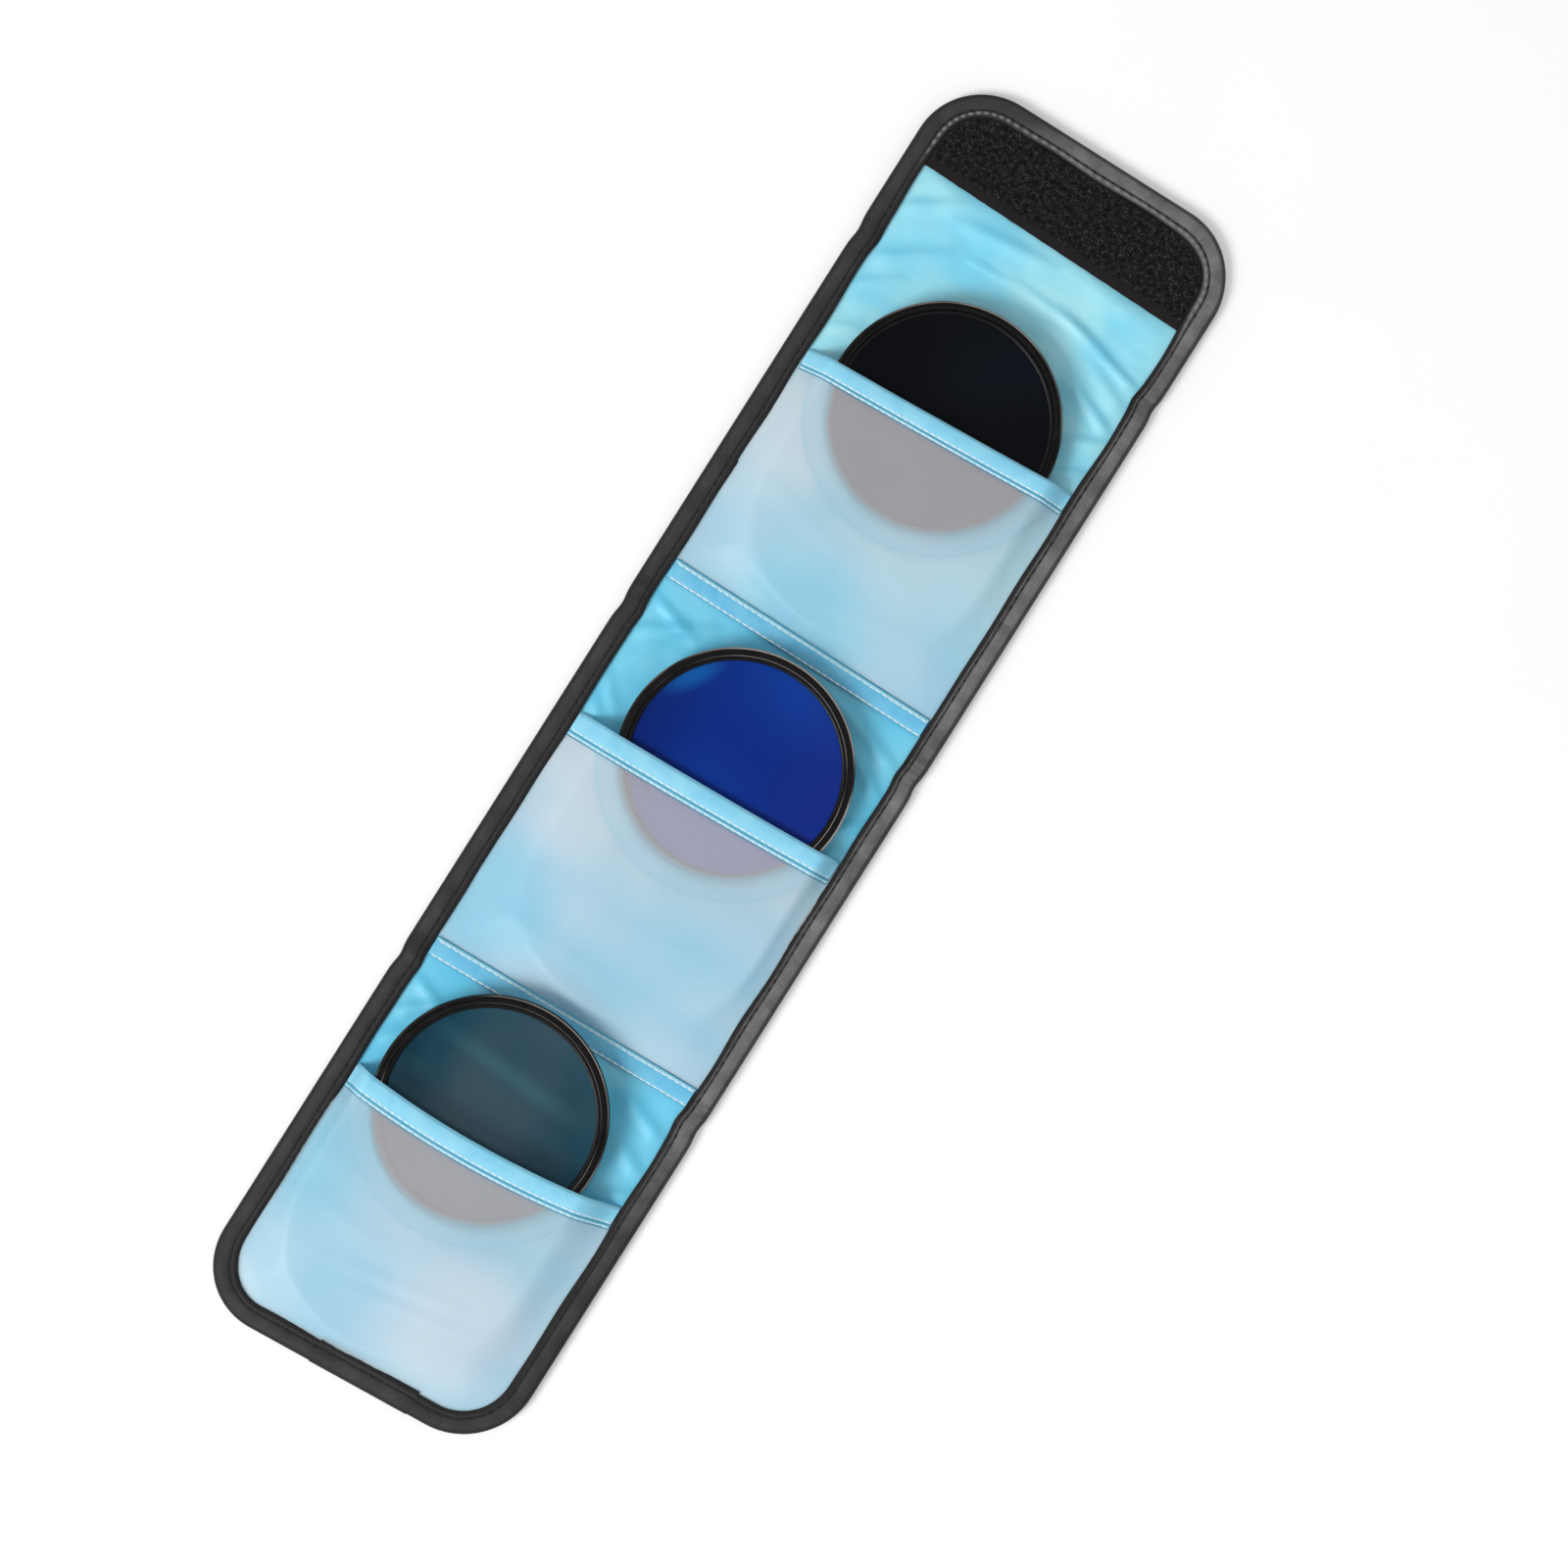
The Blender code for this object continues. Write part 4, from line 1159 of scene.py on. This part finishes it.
def add_loop_strip():
    """The loop strip lies on the canvas, with its pile facing down."""
    down = np.linspace(LOOP_START, LOOP_END, 30)[:, None]
    across = ribbon_across(HEM_HALF, 61)
    points = place(across, down, LOOP_BASE)
    uv = sheet_uv(*np.broadcast_arrays(across, down))
    base = thicken(surface("loop_strip_base", points, TAPE, uv), LOOP_THICKNESS)
    mount(base, "middle_panel", "loop_pile", "loop_strip")
    across, down = jittered(LOOP_START + LOOP_BARE, LOOP_END - LOOP_BARE, LOOP_PILE_EDGE, LOOP_PITCH, 54)
    add_pile("loop_strip_pile", across, down, LOOP_ROOT, LOOP_SIZE, "middle_panel", "loop_pile", 55, up=-1)
    return across.size


print(add_hook_strip(), "hooks and", add_loop_strip(), "loops")

# %% [markdown]
# ## The filters
#
# A filter is turned on a lathe, so each of its parts is a profile spun round an axis. The rings are
# black anodised aluminium: a thread behind, fine grooves round the rim to grip, and a retaining ring
# that holds the glass from the front. The chamfers are cut last, down to bare metal, and painted
# highlights make them brighter in places. The glass is coated, and clear enough in the third filter
# for the seam behind it to show.

# %% Ring and glass finishes
def anodised_look(wire):
    place_mm = wire.solid_mm()
    wear = place_mm.noise(0.25, 4.0, 0.6).band(0.45, 0.8)
    return {
        "Base Color": wear.mix(tone(0x040404), tone(0x110E0E)),
        "Roughness": 0.28 + wear * 0.2,
        "Normal": place_mm.noise(4.0, 2.0).bump(0.02 * MM),
    }


def cut_edge_look(wire):
    # painted highlights: the bare metal's brightness varies slowly round the ring
    mottle = wire.solid_mm().noise(0.035, 1.0).band(0.38, 0.62)
    return {"Base Color": mottle.mix(tone(0x1C1817), tone(0x9A8F88)), "Roughness": 0.4 - mottle * 0.15}


def glass_look(deep, lit):
    def look(wire):
        return {"Base Color": wire.solid_mm().noise(0.016, 1.0).band(0.35, 0.65).mix(tone(deep), tone(lit))}

    return look


def blue_glass_look(wire):
    """Royal blue, navy at one side and violet at the other, with a painted reflection of the lining as a
    lighter place near the rim.
    """
    place_mm = wire.solid_mm()
    x = place_mm.axes()[0]
    colour = place_mm.noise(0.016, 1.0).band(0.35, 0.65).mix(tone(0x0C3190), tone(0x1240A2))
    colour = ((1 - x.band(-34, -6)) * 0.6).mix(colour, tone(0x0A1F66))
    colour = (x.band(6, 36) * 0.6).mix(colour, tone(0x1C2E8E))
    # painted reflection of the lining: a lighter blue place near the rim
    light = 1 - place_mm.drawn_out(2.6, 0.97).distance((1.5, 32.3, 11)).band(0.5, 6)
    return {"Base Color": (light * 0.55).mix(colour, tone(0x1B78D0))}


def teal_glass_look(wire):
    """Smoky grey in the middle and teal at the sides, with a painted reflection as a soft greenish band
    across.
    """
    place_mm = wire.solid_mm()
    x, y = place_mm.axes()
    smoke = place_mm.noise(0.024, 2.0).band(0.38, 0.62) * 0.4 + x.line(-6, 24) * 0.6
    colour = smoke.mix(tone(0x04283A), tone(0x3C4650))
    # painted reflection: a soft greenish band across the glass
    painted_sheen_streak = (1 - abs(y + x * 0.063 + 123.9).band(0, 5)) * (0.45 - abs(x + 6).band(8, 34) * 0.45)
    return {"Base Color": painted_sheen_streak.mix(colour, tone(0x46757C))}


RING = material("black_anodised_ring", anodised_look, Specular_IOR_Level=0.12)
CUT_EDGE = material("cut_edge_metal", cut_edge_look, Metallic=0.85)
COATED = {"Roughness": 0.06, "Specular_IOR_Level": 0.05}
DARK_GLASS = material("dark_coated_glass", glass_look(0x05070D, 0x0C111A), Alpha=0.97, **COATED)
BLUE_GLASS = material("blue_coated_glass", blue_glass_look, Alpha=0.85, **COATED)
TEAL_GLASS = material("teal_coated_glass", teal_glass_look, Alpha=0.5, **COATED)

# %% Spinning a profile into a ring
FILTER_PLACES = {
    # x, y and z of the middle of each filter's underside
    "top_filter": (0.4 * MM, 136.3 * MM, 7.262 * MM),
    "middle_filter": (3.6 * MM, 2.5 * MM, 7.895 * MM),
    "polariser": (-3.7 * MM, -138.3 * MM, 7.655 * MM),
}
RIDGES, RIDGE_DEPTH = 210, 0.14 * MM
RIM_STEPS, RETAINER_STEPS, GLASS_STEPS = 4 * RIDGES, 240, 180


def turned(name, filter_name, profile, finish, knurl=(), cuts=(), steps=RIM_STEPS, solid=False):
    """A profile of (radius, height) in mm spun round the filter's axis, which leans with its pocket.

    The knurled points' radius falls by the ridges' depth between ridges, and the faces that start at
    a cut point are bare metal."""
    profile_mm = np.array(profile) * MM
    knurled = np.array([point in knurl for point in profile])
    angle = np.linspace(0, 2 * math.pi, steps, endpoint=False)[:, None]
    groove = RIDGE_DEPTH * (0.5 - 0.5 * np.cos(angle * RIDGES)) ** 0.5
    radius = profile_mm[:, 0] - groove * knurled
    points = np.stack([radius * np.cos(angle), radius * np.sin(angle), profile_mm[:, 1] + 0 * angle], -1)
    cos, sin = math.cos(TILT), math.sin(TILT)
    points = points @ np.array(((1, 0, 0), (0, cos, sin), (0, -sin, cos))) + FILTER_PLACES[filter_name]
    made = surface(name, points, finish, close_rows=True, close_columns=not solid, merge=solid)
    made.data.set_sharp_from_angle(angle=math.radians(38))
    if cuts:
        made.data.materials.append(CUT_EDGE)
        column = np.arange(len(made.data.polygons)) % len(profile)
        is_cut = np.isin(column, [profile.index(point) for point in cuts])
        made.data.polygons.foreach_set("material_index", is_cut.astype(np.int32))
    return made


def thread_profile(radius, low, high, depth=0.22, turns=3):
    """The zigzag of a screw thread seen in section, from low to high."""
    heights = np.linspace(low, high, 2 * turns + 1)
    return [(radius - depth * (number % 2), float(height)) for number, height in enumerate(heights)]


def disc_profile(low, high):
    """A glass in section: flat faces and small bevels at its rim, from its axis and back to it."""
    half = (0, 0), (36.3, 0), (36.4, 0), (36.75, 0.2)
    return [(out, high - drop) for out, drop in half] + [(out, low + drop) for out, drop in half[::-1]]


# %% The two plain filters
def add_plain_filter(name, glass_finish, glass_slot, double_rim):
    """A ring with its thread, the glass on its ledge and the retaining ring over the glass."""
    outer = [
        (39.6, 1.4), (39.9, 1.55), (40.0, 1.8), (40.0, 2.0), (40.0, 3.8), (40.0, 4.1), (39.8, 4.45),
        (39.45, 4.6),
    ]
    face = [(38.9, 4.6), (38.7, 4.2), (38.35, 4.2), (38.1, 4.6)] if double_rim else [(38.6, 4.6)]
    bore = [(37.4, 4.6), (37.1, 4.3), (37.1, 0.9), (35.5, 0.9), (35.5, 0.1), (35.6, 0.0), (38.1, 0.0)]
    profile = [*thread_profile(38.25, 0.1, 1.4)[:-1], *outer, *face, *bore]
    cuts = ((39.8, 4.45), (38.35, 4.2)) if double_rim else ((40.0, 4.1), (39.8, 4.45), (37.4, 4.6))
    ring = turned(name + "_turned_ring", name, profile, RING, ((40.0, 2.0), (40.0, 3.8)), cuts)
    mount(ring, name, "black_ring", name + "_ring")
    disc = disc_profile(1.2, 3.0)
    glass = turned(name + "_coated_glass", name, disc, glass_finish, steps=GLASS_STEPS, solid=True)
    mount(glass, name, glass_slot, name + "_glass")
    hold = [(35.6, 3.3), (36.8, 3.3), (36.8, 4.0), (36.2, 4.0), (35.7, 3.75)]
    retainer = turned(name + "_retaining_ring", name, hold, RING, steps=RETAINER_STEPS)
    mount(retainer, name, "black_ring", name + "_retainer")


add_plain_filter("top_filter", DARK_GLASS, "dark_glass", True)
add_plain_filter("middle_filter", BLUE_GLASS, "blue_glass", False)
print("two filters turned,", 2 * FILTER_RADIUS / MM, "mm across")

# %% [markdown]
# The third filter turns in its mount, as a polariser does: a base ring screws to the lens, and the
# front ring, with the glass, turns round a low spigot on it. From above that shows as two rims.

# %% The polariser
base = [
    *thread_profile(38.25, 0.1, 1.4), (39.7, 1.4), (40.0, 1.5), (40.0, 1.8), (39.8, 1.9), (38.4, 1.9),
    (38.4, 2.6), (35.5, 2.6), (35.5, 0.1), (35.6, 0.0), (38.1, 0.0),
]
front = [
    (35.5, 2.9), (38.65, 2.9), (38.65, 2.2), (39.7, 2.2), (40.0, 2.4), (40.0, 2.7), (40.0, 5.1), (40.0, 5.5),
    (39.8, 5.85), (39.5, 6.0), (38.9, 6.0), (38.7, 5.55), (38.4, 5.55), (38.2, 6.0), (37.4, 6.0), (37.1, 5.7),
    (37.1, 3.4), (35.5, 3.4),
]
hold = [(35.6, 5.3), (36.8, 5.3), (36.8, 5.8), (36.3, 5.8), (35.7, 5.6)]
base_grip, front_grip = ((40.0, 1.5), (40.0, 1.8)), ((40.0, 2.7), (40.0, 5.1))
front_cuts = (39.8, 5.85), (38.4, 5.55), (37.4, 6.0)
disc = disc_profile(3.7, 5.0)
base_ring = turned("polariser_turned_base", "polariser", base, RING, base_grip)
front_ring = turned("polariser_turned_front", "polariser", front, RING, front_grip, front_cuts)
glass = turned("polariser_coated_glass", "polariser", disc, TEAL_GLASS, steps=GLASS_STEPS, solid=True)
retainer = turned("polariser_retaining_ring", "polariser", hold, RING, steps=RETAINER_STEPS)
mount(base_ring, "polariser", "black_ring", "polariser_base_ring")
mount(front_ring, "polariser_front", "black_ring", "polariser_front_ring")
mount(glass, "polariser_front", "teal_glass", "polariser_glass")
mount(retainer, "polariser_front", "black_ring", "polariser_retainer")
print("the polariser's front ring has", RIDGES, "grip ridges")

# %% [markdown]
# ## Floor, light and camera
#
# The case lies on a plain white floor under a broad soft lamp, with a pale sky to fill the shadows.
# Together they light a level surface so that its colour renders about as it is written. The floor
# glows a little where it is seen, so that it meets the white background and keeps the case's shadow,
# but lends no light. The camera looks straight down with a long lens, turned so that the case lies
# slantwise.

# %% The floor and the sky
FLOOR_HALF, FLOOR_DROP = 6.0, 0.2 * MM
FLOOR_GLOW, SKY_STRENGTH = 0.20, 0.50
LAMP_POWER, LAMP_PLACE, LAMP_SIZE = 60.0, (-1.1, -1.9, 2.3), 1.3
WHITE, BLACK = (1, 1, 1, 1), (0, 0, 0, 1)


def floor_look(wire):
    """All but white, with a glow only where it is seen."""
    grain = wire.solid_mm().noise(0.02, 2.0)
    return {
        "Base Color": grain.mix(tone(0xF6F6F6), tone(0xF9F9F9)),
        "Emission Color": wire.seen().mix(BLACK, WHITE),
    }


def add_floor():
    """A plain square just under the case, so pale that it meets the white background."""
    across = np.linspace(-FLOOR_HALF, FLOOR_HALF, 2)
    points = np.stack(np.broadcast_arrays(across[None, :], across[:, None], -FLOOR_DROP), -1)
    finish = material(
        "white_floor", floor_look, Roughness=0.9, Specular_IOR_Level=0.0, Emission_Strength=FLOOR_GLOW
    )
    surface("floor", points, finish)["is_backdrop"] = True


def light_sky():
    """A white sky: full strength where it is seen or mirrored, and softer where it lights."""
    world = bpy.data.worlds.new("sky")
    bpy.context.scene.world = world
    world.use_nodes = True
    level = SKY_STRENGTH + (1 - SKY_STRENGTH) * Wire(world.node_tree).seen()
    background = world.node_tree.nodes["Background"]
    background.inputs["Color"].default_value = WHITE
    world.node_tree.links.new(level.socket, background.inputs["Strength"])


def add_lamp(location, size):
    """A square soft box that faces the case."""
    data = bpy.data.lights.new("soft_box", "AREA")
    data.shape, data.size, data.energy = "SQUARE", size, LAMP_POWER
    lamp = bpy.data.objects.new("soft_box", data)
    bpy.context.scene.collection.objects.link(lamp)
    lamp.location = location
    lamp.rotation_euler = (-lamp.location).to_track_quat("-Z", "Y").to_euler()


add_floor()
light_sky()
add_lamp(LAMP_PLACE, LAMP_SIZE)
print("a lamp of", LAMP_POWER, "W over a white floor")

# %% The camera
PHOTO_TURN, PHOTO_AIM, PHOTO_SPAN = math.radians(32.31), (20.3 * MM, 6.5 * MM), 524.6 * MM
LENS_MM, SENSOR_MM = 100, 36
lens_data = bpy.data.cameras.new("photo_camera")
lens_data.lens, lens_data.sensor_width = LENS_MM, SENSOR_MM
camera = bpy.data.objects.new("photo_camera", lens_data)
bpy.context.scene.collection.objects.link(camera)
camera.location = (*PHOTO_AIM, PHOTO_SPAN * lens_data.lens / lens_data.sensor_width)
camera.rotation_euler = (0, 0, PHOTO_TURN)
bpy.context.scene.camera = camera
bpy.context.scene.view_settings.view_transform = "Standard"

# %% [markdown]
# ## Sizes
#
# Both boxes are printed, the imported model's and the dressed one's, so that they can be compared.

# %% Write the sizes and finish
visual_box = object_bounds()
for title, box in (("packed", cad_box), ("dressed", visual_box)):
    print(title, [round(v / MM, 1) for v in box[1] - box[0]])
